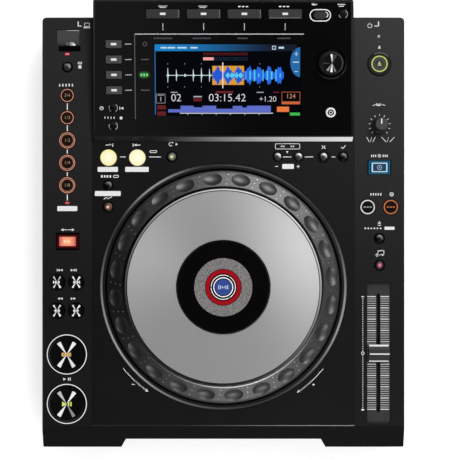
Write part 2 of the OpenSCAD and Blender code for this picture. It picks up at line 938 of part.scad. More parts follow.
module call_back_button() { color("#8a8a8a") domed_key(call_back_at, small_r); }
module call_next_button() { color("#8a8a8a") domed_key(call_next_at, small_r); }
module delete_button() { color("#5a5a5a") domed_key(delete_at, small_r); }
module memory_button() { color("#4a4a4a") domed_key(memory_at, small_r); }
module eject_button() { color("#8f9a52") ring_key(eject_at, eject_r, 1.4); }
module jog_mode_button() { color("#3a9ccf") mode_key(jog_mode_at); }
module sync_button() { color("#d8d8d8") ring_key(sync_at, sync_r); }
module master_button() { color("#d08a50") ring_key(master_at, sync_r); }
module tempo_range_button() { color("#3a3a3a") domed_key(tempo_range_at, small_r); }
module key_lock_button() { color("#c86a88") domed_key(key_lock_at, small_r); }

// Flange and cap of a key on the display face
module face_key_body(extra) {
    bottom = -panel_t - seat_gap - flange_t;
    translate([0, 0, bottom])
        linear_extrude(face_key_h - bottom)
            children(0);
    translate([0, 0, bottom])
        linear_extrude(flange_t)
            children(1);
}

module menu_keys() {
    bar_l = 3 * menu_pitch + menu_w + 2 * flange_lip;
    color("#1c1c1e")
    on_face()
        face_key_body() {
            menu_shapes(0);
            translate([menu_x0 + 1.5 * menu_pitch, menu_v])
                rounded(bar_l, menu_d + 2 * flange_lip, 1);
        }
}

module source_keys() {
    bar_l = 3 * source_pitch + source_d + 2 * flange_lip;
    color("#3c3c3e")
    on_face()
        face_key_body() {
            source_shapes(0);
            translate([source_x, source_v0 + 1.5 * source_pitch])
                rounded(source_w + 2 * flange_lip, bar_l, 1);
        }
}

module back_button() {
    color("#2a2a2c")
    on_face()
        face_key_body() {
            back_shape(0);
            back_shape(flange_lip);
        }
}

module face_round_key(at) {
    on_face()
        translate([at[0], at[1], 0])
            turned_key(small_r - 0.5, face_key_h, 0.3, panel_t);
}

module tag_button() { color("#3a3a3c") face_round_key(tag_at); }
module time_button() { color("#3a3a3c") face_round_key(time_at); }
module quantize_button() { color("#3a3a3c") face_round_key(quantize_at); }

selector_shaft_r = 3;
selector_travel = 0.6;

// Shaft that slides down when the knob is pushed
module selector_shaft() {
    head = selector_h - 4;
    color("#9a9a9a")
    on_face()
        translate([selector_at[0], selector_at[1], 0]) {
            translate([0, 0, -panel_t - seat_gap - flange_t])
                cylinder(r = selector_shaft_r + flange_lip, h = flange_t);
            translate([0, 0, -panel_t - seat_gap - flange_t])
                cylinder(r = selector_shaft_r, h = head + panel_t + seat_gap + flange_t);
        }
}

module selector_knob() {
    foot = 1;
    bore = selector_h - 4 + seat_gap;
    color("#1a1a1a")
    on_face()
        translate([selector_at[0], selector_at[1], 0])
            difference() {
                rotate_extrude()
                    polygon([
                        [0, foot], [selector_r, foot], [selector_r, 2.5],
                        [selector_r - 0.8, 3.3], [selector_r - 0.8, selector_h - 1],
                        [selector_r - 1.7, selector_h], [0, selector_h]
                    ]);
                translate([0, 0, -past])
                    cylinder(r = selector_shaft_r + run_fit, h = bore + past);
                // Finger ribs are left standing between shallow flutes
                for (i = [0:23])
                    rotate([0, 0, i * 15 + 7.5])
                        translate([selector_r - 0.6, 0, 4])
                            cylinder(r = 0.5, h = selector_h);
                translate([0, 0, selector_h - 0.5])
                    cylinder(r = selector_r - 3.4, h = past);
            }
}

module speed_knob() {
    shaft_r = speed_r / 2;
    color("#1a1a1a")
    translate([speed_at[0], speed_at[1], deck_z])
        difference() {
            rotate_extrude()
                polygon([
                    [0, -deck_t - 1.5], [shaft_r, -deck_t - 1.5], [shaft_r, seat_gap],
                    [speed_r, seat_gap], [speed_r, 2.4], [speed_r - 1, 3],
                    [speed_r - 1, speed_h - 0.7], [speed_r - 1.7, speed_h], [0, speed_h]
                ]);
            for (i = [0:17])
                rotate([0, 0, i * 20 + 10])
                    translate([speed_r - 0.8, 0, 3.8])
                        cylinder(r = 0.45, h = speed_h);
        }
}

// Cap of the slider in side view, with a hollow on each side of its ridge
module slider_profile() {
    low = 0.4;
    end = 4.6;
    half = slider_l / 2;
    difference() {
        polygon([
            [-half, low], [half, low], [half, end], [half - 1.4, end + 0.8],
            [1.6, slider_ridge_h], [-1.6, slider_ridge_h], [-half + 1.4, end + 0.8], [-half, end]
        ]);
        for (y = [-1, 1])
            translate([y * (half + 0.7), slider_ridge_h + 1.8])
                circle(r = 7.2, $fn = 64);
    }
}

module tempo_slider() {
    color("#2c2c2e")
    difference() {
        union() {
            translate([slider_x, slider_y, deck_z - recess_z])
                translate([-slider_w / 2, 0, 0])
                    rotate([90, 0, 90])
                        linear_extrude(slider_w)
                            slider_profile();
            translate([slider_x - slider_stem_w / 2, slider_y - slider_stem_l / 2, board_z + board_t + 2])
                cube([slider_stem_w, slider_stem_l, deck_z - recess_z + 3 - board_z - board_t - 2]);
        }
        // Fine groove along the ridge
        translate([slider_x, slider_y, deck_z - recess_z + slider_ridge_h])
            cube([slider_w + 2, 0.5, 0.6], center = true);
    }
}

// Body of the slider's fader, which stands on the main board
module fader_body() {
    body_l = slider_travel + slider_stem_l + 2 * fader_end;
    body_h = deck_z - recess_z - slider_pad_t - board_z - board_t;
    color("#8c8f92")
    translate([slider_x, slider_y, board_z + board_t])
        difference() {
            translate([-fader_w / 2, -body_l / 2, 0])
                cube([fader_w, body_l, body_h]);
            translate([-slider_slot_w / 2, -body_l / 2 + fader_end - 1, 1.2])
                cube([slider_slot_w, body_l - 2 * fader_end + 2, body_h]);
        }
}

module usb_door() {
    color("#55565a")
    difference() {
        union() {
            translate([-door_x - door_w / 2, door_back_y - door_l, deck_z - door_t])
                cube([door_w, door_l - door_barrel_r, door_t]);
            translate([-door_x, door_axis_y, door_axis_z])
                rotate([0, 90, 0]) {
                    cylinder(r = door_barrel_r, h = door_w, center = true);
                    cylinder(r = door_pin_r, h = door_w + 2 * door_gap + 2 * door_pin_l - 0.4, center = true);
                }
        }
        // Thumb hollow in the front edge
        translate([-door_x, door_back_y - door_l, deck_z + 2.6])
            sphere(r = 3.4);
    }
}

// Fixed ring and well round the jog dial
module jog_bezel() {
    color("#2b2c2f")
    translate([0, jog_y, deck_z])
        rotate_extrude($fn = 96)
            polygon([
                [post_r - 4, well_floor - well_floor_t], [well_r, well_floor - well_floor_t],
                [well_r, 0], [bezel_r, 0], [bezel_r, bezel_h - 1.6],
                [bezel_r - 0.8, bezel_h - 0.5], [bezel_r - 2.2, bezel_h],
                [bezel_bore_r + 0.6, bezel_h], [bezel_bore_r, bezel_h - 0.6],
                [bezel_bore_r, well_floor], [post_r - 4, well_floor]
            ]);
}

// Fixed post that carries the jog dial and the round display
module jog_pedestal() {
    color("#6a6c70")
    translate([0, jog_y, deck_z])
        rotate_extrude($fn = 96)
            polygon([
                [post_r - post_wall, well_floor], [post_r + 14, well_floor],
                [post_r + 14, well_floor + pedestal_t], [post_r, well_floor + pedestal_t],
                [post_r, window_z], [post_r - post_wall, window_z]
            ]);
}

// The round display at the middle, which stands still
module jog_window() {
    color("#101014")
    translate([0, jog_y, deck_z])
        rotate_extrude($fn = 96)
            polygon([
                [0, window_z], [hub_display_r, window_z], [hub_display_r, window_top - 0.5],
                [hub_display_r - 0.5, window_top], [0, window_top]
            ]);
}

// A lens-shaped cutter, round about its long axis
module dimple_cutter() {
    swell = (dimple_w * dimple_w / 4 + dimple_depth * dimple_depth) / (2 * dimple_depth);
    half_l = dimple_l / 2;
    arc_r = (half_l * half_l + dimple_depth * dimple_depth) / (2 * dimple_depth);
    translate([0, 0, swell - dimple_depth])
        rotate([90, 0, 0])
            rotate_extrude($fn = 64)
                intersection() {
                    translate([swell - arc_r, 0])
                        circle(r = arc_r, $fn = 96);
                    translate([0, -arc_r])
                        square([arc_r, 2 * arc_r]);
                }
}

module jog_ring() {
    hub_wall = 4.5;
    under = web_top - web_t;
    dimple_top = ring_top - (dimple_at_r - ring_bore_r) * tan(ring_slope);
    color("#77797c")
    translate([0, jog_y, deck_z])
        difference() {
            rotate_extrude($fn = 96)
                polygon([
                    [post_r + run_fit, well_floor + pedestal_t + seat_gap],
                    [post_r + hub_wall, well_floor + pedestal_t + seat_gap],
                    [post_r + hub_wall, under], [ring_bore_r + 2.5, under],
                    [ring_r - 3, under - 2], [ring_r - 3, ring_skirt], [ring_r, ring_skirt],
                    [ring_r, ring_edge - 2], [ring_r - 0.7, ring_edge - 0.6],
                    [ring_r - 2, ring_edge], [ring_bore_r, ring_top],
                    [ring_bore_r, web_top], [post_r + run_fit, web_top]
                ]);
            for (a = [30, 150, 270])
                rotate([0, 0, a])
                    translate([plate_pin_at_r, 0, web_top - web_t - past])
                        cylinder(r = plate_pin_r + run_fit, h = web_t + 2 * past);
            for (i = [0:dimples - 1])
                rotate([0, 0, first_dimple + i * 360 / dimples])
                    translate([dimple_at_r, 0, dimple_top])
                        rotate([0, ring_slope, 0])
                            dimple_cutter();
        }
}

// Metal plate that turns with the ring and sinks a little under the hand, on three pins
module jog_platter() {
    inner = plate_r - plate_rim_w;
    color("#b4b6b9")
    translate([0, jog_y, deck_z]) {
        for (a = [30, 150, 270])
            rotate([0, 0, a])
                translate([plate_pin_at_r, 0, web_top - web_t - 0.6])
                    cylinder(r = plate_pin_r, h = plate_h - web_top + web_t - 0.4);
        rotate_extrude($fn = 96)
            polygon([
                [hub_display_r + 0.7, plate_h - plate_t], [plate_r, plate_h - plate_t],
                [plate_r, plate_h - 0.3], [plate_r - 0.3, plate_h],
                [inner, plate_h], [inner, plate_h - 0.8],
                [inner - rim_groove, plate_h - 0.8], [inner - rim_groove, plate_h],
                [hub_display_r + 1, plate_h], [hub_display_r + 0.7, plate_h - 0.3]
            ]);
    }
}

// Boards under the deck with the slider's fader, beside the drive, and behind the display face
module circuit_boards() {
    half_w = body_w / 2 - wall_t - 1.5;
    fader_body();
    color("#1f5a34") {
        difference() {
            translate([0, 0, board_z])
                linear_extrude(board_t)
                    difference() {
                        union() {
                            for (x = [-half_w, strip_edge_x - 3])
                                translate([x, deck_front_y + 1])
                                    square([half_w - strip_edge_x + 3, case_back_y - deck_front_y - 7]);
                            translate([0, deck_row_y])
                                square([2 * strip_edge_x, 22], center = true);
                            translate([slip_at[0] - 3, (slip_at[1] + deck_row_y) / 2])
                                square([24, deck_row_y - slip_at[1] + 14], center = true);
                        }
                        translate([0, jog_y])
                            circle(well_r + 3, $fn = 96);
                        for (x = [-post_x, post_x], y = post_ys)
                            translate([x, y])
                                circle(pillar_r + 0.5);
                    }
        }
        for (x = [-1, 1])
            translate([x * side_board_x, (front_y + case_back_y) / 2, drive_z])
                linear_extrude(board_t)
                    square([side_board_w, case_back_y - front_y - 2 * side_board_margin], center = true);
        on_face()
            translate([0, face_l / 2, -face_board_w - board_t])
                linear_extrude(board_t)
                    square([display_w - 14, face_l - 14], center = true);
    }
    // A switch under each key
    color("#202020") {
        for (k = round_keys)
            translate([k[0][0], k[0][1], board_z + board_t])
                cylinder(r = switch_r, h = switch_z - board_z - board_t);
        for (k = mode_keys)
            translate([k[0], k[1], board_z + board_t])
                cylinder(r = switch_r, h = switch_z - board_z - board_t);
        on_face()
            for (p = face_switches)
                translate([p[0], p[1], -face_board_w])
                    cylinder(r = switch_r, h = face_board_w - face_switch_w);
    }
    // Potentiometer under the speed knob
    color("#8a8c90")
    translate([speed_at[0], speed_at[1], board_z + board_t])
        cylinder(r = 5, h = under_deck_z - 1.5 - seat_gap - board_z - board_t);
    // Power supply: capacitor, transformer and heat sink; and the main processor
    color("#303236") {
        translate([side_board_x, case_back_y - 70, drive_z + board_t])
            cylinder(r = 9, h = 24);
        translate([side_board_x - 20, case_back_y - 110, drive_z + board_t])
            cube([34, 26, 22]);
        for (i = [0:5])
            translate([side_board_x - 20 + i * 6, case_back_y - 150, drive_z + board_t])
                cube([2, 30, 18]);
        translate([-side_board_x - 18, 0, drive_z + board_t])
            cube([30, 30, 3]);
    }
}

face_switches = concat(
    [for (i = [0:3]) [menu_x0 + i * menu_pitch, menu_v]],
    [for (i = [0:3]) [source_x, source_v0 + i * source_pitch]],
    [back_at, tag_at, time_at, quantize_at]
);

module drive_chassis() {
    half = drive_w / 2;
    wall_h = drive_h;
    color("#9b9ea2") {
        difference() {
            union() {
                translate([-half, drive_front_y, drive_z])
                    cube([drive_w, drive_d, drive_t]);
                for (x = [-half, half - drive_t])
                    translate([x, drive_front_y, drive_z])
                        cube([drive_t, drive_d, wall_h]);
                translate([-half, drive_back_y - drive_t, drive_z])
                    cube([drive_w, drive_t, wall_h]);
                translate([-half, drive_front_y, drive_z])
                    cube([drive_w, drive_t, wall_h]);
                // Top plate with its wide round opening
                translate([-half, drive_front_y, drive_z + wall_h - drive_t])
                    cube([drive_w, drive_d, drive_t]);
                // Brackets for the guide rods
                for (y = [guide_y0 - 3, guide_y1])
                    translate([-guide_x - 5, y, drive_z])
                        cube([guide_x + screw_x + 10, 3, guide_z + 5 - drive_z]);
                // Spindle motor
                translate([0, spindle_y, drive_z])
                    cylinder(r = 12, h = 9);
                // Screw motor
                translate([screw_x, guide_y0 - 3, guide_z])
                    rotate([90, 0, 0])
                        cylinder(r = 4.5, h = 9);
            }
            translate([0, spindle_y, drive_z - past])
                cylinder(r = spindle_r + run_fit, h = 9 + 2 * past);
            translate([0, (drive_front_y + drive_back_y) / 2, drive_z + wall_h - drive_t - past])
                cylinder(r = drive_w / 2 - 16, h = drive_t + 2 * past, $fn = 96);
            // Mouth for the disc
            translate([0, drive_front_y, slot_z])
                cube([slot_w, 2 * drive_t + 2, slot_h + 2], center = true);
            // Bearings of the loading roller
            translate([0, roller_y, roller_z])
                rotate([0, 90, 0])
                    cylinder(r = rod_r + run_fit, h = drive_w + 2, center = true);
            // Bearings of the lead screw
            translate([screw_x, guide_y0 - 4, guide_z])
                rotate([-90, 0, 0])
                    cylinder(r = rod_r + 0.5 + run_fit, h = guide_y1 - guide_y0 + 8);
        }
        // Guide rods
        for (x = [-guide_x, guide_x])
            translate([x, guide_y0 - 1, guide_z])
                rotate([-90, 0, 0])
                    cylinder(r = rod_r, h = guide_y1 - guide_y0 + 2);
    }
}

module loading_roller() {
    roll_l = slot_w - 3;
    color("#1c1c1c")
    translate([0, roller_y, roller_z])
        rotate([0, 90, 0])
            translate([0, 0, -drive_w / 2 - 3])
                rotate_extrude()
                    polygon([
                        [0, 0], [rod_r, 0], [rod_r, (drive_w - roll_l) / 2 + 3],
                        [roller_r, (drive_w - roll_l) / 2 + 3],
                        [roller_r - 0.8, drive_w / 2 + 3],
                        [roller_r, (drive_w + roll_l) / 2 + 3],
                        [rod_r, (drive_w + roll_l) / 2 + 3], [rod_r, drive_w + 6],
                        [0, drive_w + 6]
                    ]);
}

module disc_spindle() {
    color("#c8c8cc")
    translate([0, spindle_y, 0])
        rotate_extrude()
            polygon([
                [0, drive_z + 1], [spindle_r, drive_z + 1], [spindle_r, disc_z - 4.5],
                [turntable_r, disc_z - 4.5], [turntable_r, disc_z - 2.6], [hub_r, disc_z - 2.6],
                [hub_r, disc_z], [hub_r - 2, disc_z + 1.6], [0, disc_z + 1.6]
            ]);
}

module pickup_sled() {
    color("#2f3135")
    translate([0, guide_y0 + 2, guide_z])
        difference() {
            union() {
                translate([-guide_x - 4, 0, -3])
                    cube([guide_x + screw_x + 8, sled_l, 6]);
                translate([0, sled_l / 2, 3])
                    cylinder(r = 6, h = 2.4);
                translate([0, sled_l / 2, 3])
                    cylinder(r = 2.4, h = 3.4);
            }
            for (x = [-guide_x, guide_x])
                translate([x, -past, 0])
                    rotate([-90, 0, 0])
                        cylinder(r = rod_r + run_fit, h = sled_l + 2 * past);
            translate([screw_x, -past, 0])
                rotate([-90, 0, 0])
                    cylinder(r = rod_r + 0.5 + run_fit, h = sled_l + 2 * past);
        }
}

module lead_screw() {
    color("#b0b0b4")
    translate([screw_x, guide_y0 - 3, guide_z])
        rotate([-90, 0, 0])
            cylinder(r = rod_r + 0.5, h = guide_y1 - guide_y0 + 5);
}

// Sockets: memory under its door, and mains, three coaxial, control, network and computer behind
module sockets() {
    // Memory socket that stands under its door
    color("#a8a8ac")
    translate([-door_x, door_back_y - door_l / 2 - 1, board_z + board_t])
        difference() {
            translate([-7.2, -3.5, 0])
                cube([14.4, 7, deck_z - door_t - seat_gap - board_z - board_t]);
            translate([-6.2, -2.5, 1.5])
                cube([12.4, 5, 12]);
        }
    color("#17181a")
    translate([0, panel_y + panel_plate_t, socket_z]) {
        translate([inlet_x, 0, 0])
            difference() {
                union() {
                    translate([-14, -22, -10.5])
                        cube([28, 22, 21]);
                    translate([-16, 0, -12.5])
                        cube([32, 1.5, 25]);
                }
                translate([-12.2, -15, -8.3])
                    cube([24.4, 20, 16.6]);
            }
        for (x = [-7, 7])
            translate([inlet_x + x - 1, -16, -4])
                cube([2, 13, 4]);
        translate([inlet_x - 1, -16, 1])
            cube([2, 13, 4]);
        for (x = coax_x)
            translate([x, 0, 0])
                rotate([-90, 0, 0])
                    difference() {
                        union() {
                            translate([0, 0, -12])
                                cylinder(r = 5.1, h = 12);
                            cylinder(r = 6.4, h = 1.2);
                            cylinder(r = coax_r, h = coax_l + 1.2);
                        }
                        translate([0, 0, -8])
                            cylinder(r = 1.7, h = 20);
                    }
        translate([control_x, 0, 0])
            rotate([-90, 0, 0])
                difference() {
                    union() {
                        translate([0, 0, -14])
                            cylinder(r = 4.1, h = 14);
                        cylinder(r = 5, h = 2);
                    }
                    translate([0, 0, -12])
                        cylinder(r = control_r, h = 16);
                }
        translate([lan_x, 0, 0])
            difference() {
                translate([-8.4, -16, -7.4])
                    cube([16.8, 17.5, 14.8]);
                translate([-5.9, -12, -4])
                    cube([11.8, 16, 8]);
            }
        translate([usb_b_x, 0, 0])
            difference() {
                translate([-6.4, -14, -5.9])
                    cube([12.8, 15.5, 11.8]);
                difference() {
                    translate([-4.3, -10, -4])
                        cube([8.6, 14, 8]);
                    translate([-2.8, -11, -1.6])
                        cube([5.6, 6, 3.2]);
                }
            }
    }
}

// Power key and the frame that it slides in
module power_switch() {
    color("#101010")
    translate([switch_x, panel_y, socket_z]) {
        translate([-7.4, 0, -4.9])
            cube([14.8, panel_plate_t + 4.2, 9.8]);
        translate([-9.4, -1.7, -6.9])
            cube([18.8, 1.7 - seat_gap, 13.8]);
        translate([-7.4, -2, -4.9])
            cube([14.8, 3, 9.8]);
    }
}

top_case();
bottom_case();
back_panel();
display_housing();
display_panel();
lcd_module();
jog_bezel();
jog_pedestal();
jog_ring();
jog_platter();
jog_window();
play_button();
cue_button();
track_back_button();
track_next_button();
search_back_button();
search_next_button();
direction_button();
beat_button_1();
beat_button_2();
beat_button_3();
beat_button_4();
beat_button_5();
usb_stop_button();
usb_door();
loop_in_button();
loop_out_button();
reloop_button();
four_beat_button();
slip_button();
call_back_button();
call_next_button();
delete_button();
memory_button();
eject_button();
jog_mode_button();
sync_button();
master_button();
tempo_range_button();
key_lock_button();
menu_keys();
source_keys();
back_button();
tag_button();
time_button();
quantize_button();
speed_knob();
selector_shaft();
selector_knob();
tempo_slider();
circuit_boards();
drive_chassis();
loading_roller();
disc_spindle();
pickup_sled();
lead_screw();
sockets();
power_switch();
rubber_feet();
case_screws();
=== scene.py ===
"""Looks of a tabletop disc player for DJs: finishes, printed marks, lamps, screen and studio.

X runs to the right, Y to the back and Z up, in metres. Drawings of flat marks are in millimetres.
"""
import json
import math

import bpy
from mathutils import Matrix, Vector


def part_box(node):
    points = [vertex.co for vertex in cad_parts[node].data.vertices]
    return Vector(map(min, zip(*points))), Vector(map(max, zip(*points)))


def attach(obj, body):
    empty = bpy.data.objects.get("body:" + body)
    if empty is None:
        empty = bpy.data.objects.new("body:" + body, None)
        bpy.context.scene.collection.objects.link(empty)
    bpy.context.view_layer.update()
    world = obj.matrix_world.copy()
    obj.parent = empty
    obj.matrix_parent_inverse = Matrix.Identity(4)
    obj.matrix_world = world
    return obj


MM = 0.001

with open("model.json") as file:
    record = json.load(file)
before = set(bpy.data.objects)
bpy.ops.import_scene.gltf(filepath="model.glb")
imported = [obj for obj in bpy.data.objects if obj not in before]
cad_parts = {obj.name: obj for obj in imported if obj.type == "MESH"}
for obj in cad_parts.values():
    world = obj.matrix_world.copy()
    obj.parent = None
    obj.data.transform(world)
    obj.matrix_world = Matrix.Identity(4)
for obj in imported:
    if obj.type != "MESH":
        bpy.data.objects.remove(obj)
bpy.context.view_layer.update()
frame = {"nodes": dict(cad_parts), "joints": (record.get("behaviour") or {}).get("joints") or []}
nodes = frame["nodes"]


# ---------------------------------------------------------------- places

def middle(node):
    """Middle of a CAD node seen from above, in metres."""
    low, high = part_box(node)
    return (low.x + high.x) / 2, (low.y + high.y) / 2


def top_of(node):
    """Height of a CAD node's top, in metres."""
    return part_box(node)[1].z


def spot(node):
    """Middle of a CAD node seen from above, in the millimetres of a drawing."""
    return tuple(part / MM for part in middle(node))


def over(node, rise=0.0):
    """The level of a node's top, raised by that many mm, for marks to lie on."""
    return Matrix.Translation((0, 0, top_of(node) + rise * MM))


def half_of(node):
    """Half the width and half the depth of a key's cap, in metres."""
    low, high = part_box(node)
    return (high.x - low.x) / 2 - FLANGE, (high.y - low.y) / 2 - FLANGE


def joint(name):
    """A joint of the frame, by its name."""
    return next(j for j in frame["joints"] if j["name"] == name)


DECK_Z = top_of("usb_door")
DECK = Matrix.Translation((0, 0, DECK_Z))

# The display face: X, distance up the slope, height off the face
SELECTOR_ON_FACE = (90.2 * MM, 62 * MM)
TURN_POINT_HEIGHT = 8 * MM
face_normal = Vector(joint("selector_turn")["axis"])
face_up = Vector((0, face_normal.z, -face_normal.y))
face_tilt = math.atan2(face_up.z, face_up.y)
face_origin = (
    Vector(joint("selector_turn")["pos_m"])
    - TURN_POINT_HEIGHT * face_normal
    - SELECTOR_ON_FACE[0] * Vector((1, 0, 0))
    - SELECTOR_ON_FACE[1] * face_up
)
FACE = Matrix.Translation(face_origin) @ Matrix.Rotation(face_tilt, 4, "X")
FACE_LENGTH = 113.3

# A key's flange, which hides under the deck, stands out this far all round
FLANGE = 1.3 * MM

DIAL_Y = spot("jog_window")[1]
DIAL_AXIS = (0, DIAL_Y * MM, 0)

# The keys in a row above the screen, and those in a column beside it
MENU_AT = tuple(-50.4 + 34.04 * index for index in range(4))
MENU_V = FACE_LENGTH - 10.7
SOURCE_AT = tuple(39.2 + 12.8 * index for index in range(4))

# Glass of the screen, a little below the face
GLASS = FACE @ Matrix.Translation((0, 0, -0.3 * MM))


# ---------------------------------------------------------------- shaders

def tone(red, green, blue):
    """A colour as a screen shows it, 0 to 255, turned into what a shader takes."""
    parts = []
    for level in (red, green, blue):
        share = level / 255
        linear = share / 12.92 if share <= 0.04045 else ((share + 0.055) / 1.055) ** 2.4
        parts.append(linear)
    return (*parts, 1.0)


def grey(level, blue=0):
    """A grey as a screen shows it, or a slightly blue one."""
    return tone(level, level, level + blue)


class Link:
    """What comes out of a shader node. Sums on it add the nodes that work them out."""

    def __init__(self, finish, socket):
        self.finish = finish
        self.socket = socket

    def math(self, operation, *others):
        """Arithmetic that takes this value first."""
        values = dict(enumerate((self, *others)))
        return self.finish.node("Math", {"operation": operation}, values)

    def __add__(self, other):
        return self.math("ADD", other)

    __radd__ = __add__

    def __sub__(self, other):
        return self.math("SUBTRACT", other)

    def __rsub__(self, other):
        return self.finish.node("Math", {"operation": "SUBTRACT"}, {0: other, 1: self})

    def __mul__(self, other):
        return self.math("MULTIPLY", other)

    __rmul__ = __mul__

    def __truediv__(self, other):
        return self.math("DIVIDE", other)

    def __abs__(self):
        return self.math("ABSOLUTE")

    def above(self, edge, blur):
        """1 where the value is above an edge, 0 below it, with a soft change of that half width."""
        values = {0: self, 1: edge - blur, 2: edge + blur}
        return self.finish.node("MapRange", {"interpolation_type": "SMOOTHSTEP"}, values)

    def between(self, low, high, blur):
        """1 from one edge to another, 0 outside."""
        return self.above(low, blur) * (1 - self.above(high, blur))

    def outlet(self, which):
        """Another outlet of the same node."""
        return Link(self.finish, self.socket.node.outputs[which])


class Finish:
    """A material on the piece's own places, in metres."""

    def __init__(self, name, rough=0.5, metal=0.0, specular=0.5, coat=0.0, glow=0.0):
        self.material = bpy.data.materials.new(name)
        self.material.use_nodes = True
        self.tree = self.material.node_tree
        self.surface = self.tree.nodes["Principled BSDF"]
        self.surface.inputs["Roughness"].default_value = rough
        self.surface.inputs["Metallic"].default_value = metal
        self.surface.inputs["Specular IOR Level"].default_value = specular
        self.surface.inputs["Coat Weight"].default_value = coat
        self.surface.inputs["Coat Roughness"].default_value = 0.08
        self.surface.inputs["Emission Strength"].default_value = glow

    def node(self, kind, settings=None, values=None, out=0):
        """Adds a shader node. Settings are set first, then the numbers or links of its sockets."""
        made = self.tree.nodes.new("ShaderNode" + kind)
        for name, value in (settings or {}).items():
            setattr(made, name, value)
        for name, value in (values or {}).items():
            if isinstance(value, Link):
                self.tree.links.new(value.socket, made.inputs[name])
            else:
                made.inputs[name].default_value = value
        return Link(self, made.outputs[out])

    def feed(self, socket, value):
        """Gives the surface a number, a colour or a link."""
        if isinstance(value, Link):
            self.tree.links.new(value.socket, self.surface.inputs[socket])
        else:
            self.surface.inputs[socket].default_value = value

    def place(self, about=(0, 0, 0), turn=(0, 0, 0)):
        """Place on the piece, counted from a point and along turned axes."""
        coordinates = self.node("TexCoord", out=3)
        return self.node(
            "Mapping", {"vector_type": "TEXTURE"},
            {"Vector": coordinates, "Location": about, "Rotation": turn},
        )

    def axes(self, about=(0, 0, 0), turn=(0, 0, 0)):
        """The same place as three numbers."""
        parts = self.node("SeparateXYZ", values={0: self.place(about, turn)})
        return [parts.outlet(which) for which in range(3)]

    def around(self, about, turn=(0, 0, 0)):
        """X and Y from an axis through a point, and the distance from it."""
        x, y, _ = self.axes(about, turn)
        return x, y, (x * x + y * y).math("SQRT")

    def mix(self, share, first, second):
        """Goes from the first colour to the second as share goes from 0 to 1."""
        return self.node("Mix", {"data_type": "RGBA"}, {0: share, 6: first, 7: second}, out=2)

    def noise(self, size, detail=2.0, stretch=(1, 1, 1)):
        """Cloudy pattern of spots of about that size in metres."""
        scaled = self.node(
            "VectorMath", {"operation": "MULTIPLY"}, {0: self.place(), 1: stretch}
        )
        return self.node("TexNoise", values={"Vector": scaled, "Scale": 1 / size, "Detail": detail})

    def bump(self, height, depth):
        """Raises the surface by up to that depth in metres where height is 1."""
        self.feed("Normal", self.node("Bump", values={"Height": height, "Distance": depth}))


def plain(name, colour, lighter, rough, metal=0.0, specular=0.5, depth=0.02 * MM):
    """Moulded or painted surface, a little uneven in colour and gloss as they all are."""
    finish = Finish(name, rough, metal, specular)
    spread = 0.06
    clouds = finish.noise(18 * MM, 3.0)
    grain = finish.noise(0.5 * MM, 2.0)
    finish.feed("Base Color", finish.mix(clouds, colour, lighter))
    finish.feed("Roughness", rough - spread / 2 + spread * clouds)
    finish.bump(grain, depth)
    return finish.material


def lamp(name, centre, edge, about, reach, rim_at=1.0, rim=(0, 0, 0, 1)):
    """Lit plastic, bright at a point, deeper in colour towards its edge and darker in its rim."""
    finish = Finish(name, rough=0.35, specular=0.3, glow=1.0)
    away = finish.around(about)[2]
    share = away.above(reach * 0.55, reach * 0.45)
    colour = finish.mix(away.above(rim_at, 0.2 * MM), finish.mix(share, centre, edge), rim)
    finish.feed("Emission Color", colour)
    finish.feed("Base Color", tone(18, 16, 14))
    finish.feed("Roughness", 0.3 + 0.08 * finish.noise(3 * MM))
    return finish.material


def ink(name, colour, glow=0.0, specular=0.25):
    """Screen-printed ink, or a mark that is lit from behind."""
    finish = Finish(name, rough=0.55, specular=specular, glow=glow)
    speckle = finish.noise(0.6 * MM)
    dimmer = tuple(0.86 * part for part in colour[:3]) + (1.0,)
    shade = finish.mix(speckle, dimmer, colour)
    if glow:
        finish.feed("Emission Color", shade)
        finish.feed("Base Color", (0.0, 0.0, 0.0, 1.0))
    else:
        finish.feed("Base Color", shade)
    return finish.material


def dress(node, material):
    """Gives a CAD node its finish."""
    mesh = nodes[node].data
    mesh.materials.clear()
    mesh.materials.append(material)


# ---------------------------------------------------------------- making pieces

def start():
    """Leaves nothing selected, so that an operator acts on the new piece alone."""
    bpy.ops.object.select_all(action="DESELECT")


def finished(name, body, material):
    """Names the active object and lets it ride on a body."""
    piece = bpy.context.active_object
    piece.name = name
    piece.data.name = name
    piece.data.materials.clear()
    piece.data.materials.append(material)
    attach(piece, body)
    return piece


def turned(profile, about, steps=48, axes=None):
    """A round piece: radius and height pairs in mm, spun about an upright line through a point."""
    start()
    curve = bpy.data.curves.new("profile", "CURVE")
    curve.dimensions = "3D"
    line = curve.splines.new("POLY")
    line.points.add(len(profile) - 1)
    for point, (radius, height) in zip(line.points, profile):
        point.co = (radius * MM, 0, height * MM, 1)
    made = bpy.data.objects.new("turned", curve)
    bpy.context.collection.objects.link(made)
    made.select_set(True)
    bpy.context.view_layer.objects.active = made
    bpy.ops.object.convert(target="MESH")
    bpy.ops.object.mode_set(mode="EDIT")
    bpy.ops.mesh.select_all(action="SELECT")
    bpy.ops.mesh.spin(
        steps=steps, angle=2 * math.pi, center=(0, 0, 0), axis=(0, 0, 1)
    )
    bpy.ops.mesh.select_all(action="SELECT")
    bpy.ops.mesh.remove_doubles(threshold=0.002 * MM)
    bpy.ops.mesh.normals_make_consistent(inside=False)
    bpy.ops.object.mode_set(mode="OBJECT")
    bpy.ops.object.shade_smooth_by_angle(angle=math.radians(35))
    made.data.transform(Matrix.Translation(about) @ (axes or Matrix.Identity(4)))
    return made


def dome(radius, height, rings=4):
    """Profile of a low dome on a short wall."""
    profile = [(radius, 0)]
    for step in range(rings + 1):
        share = step / rings
        angle = share * math.pi / 2
        profile.append((radius * math.cos(angle), height * (0.3 + 0.7 * math.sin(angle))))
    return profile


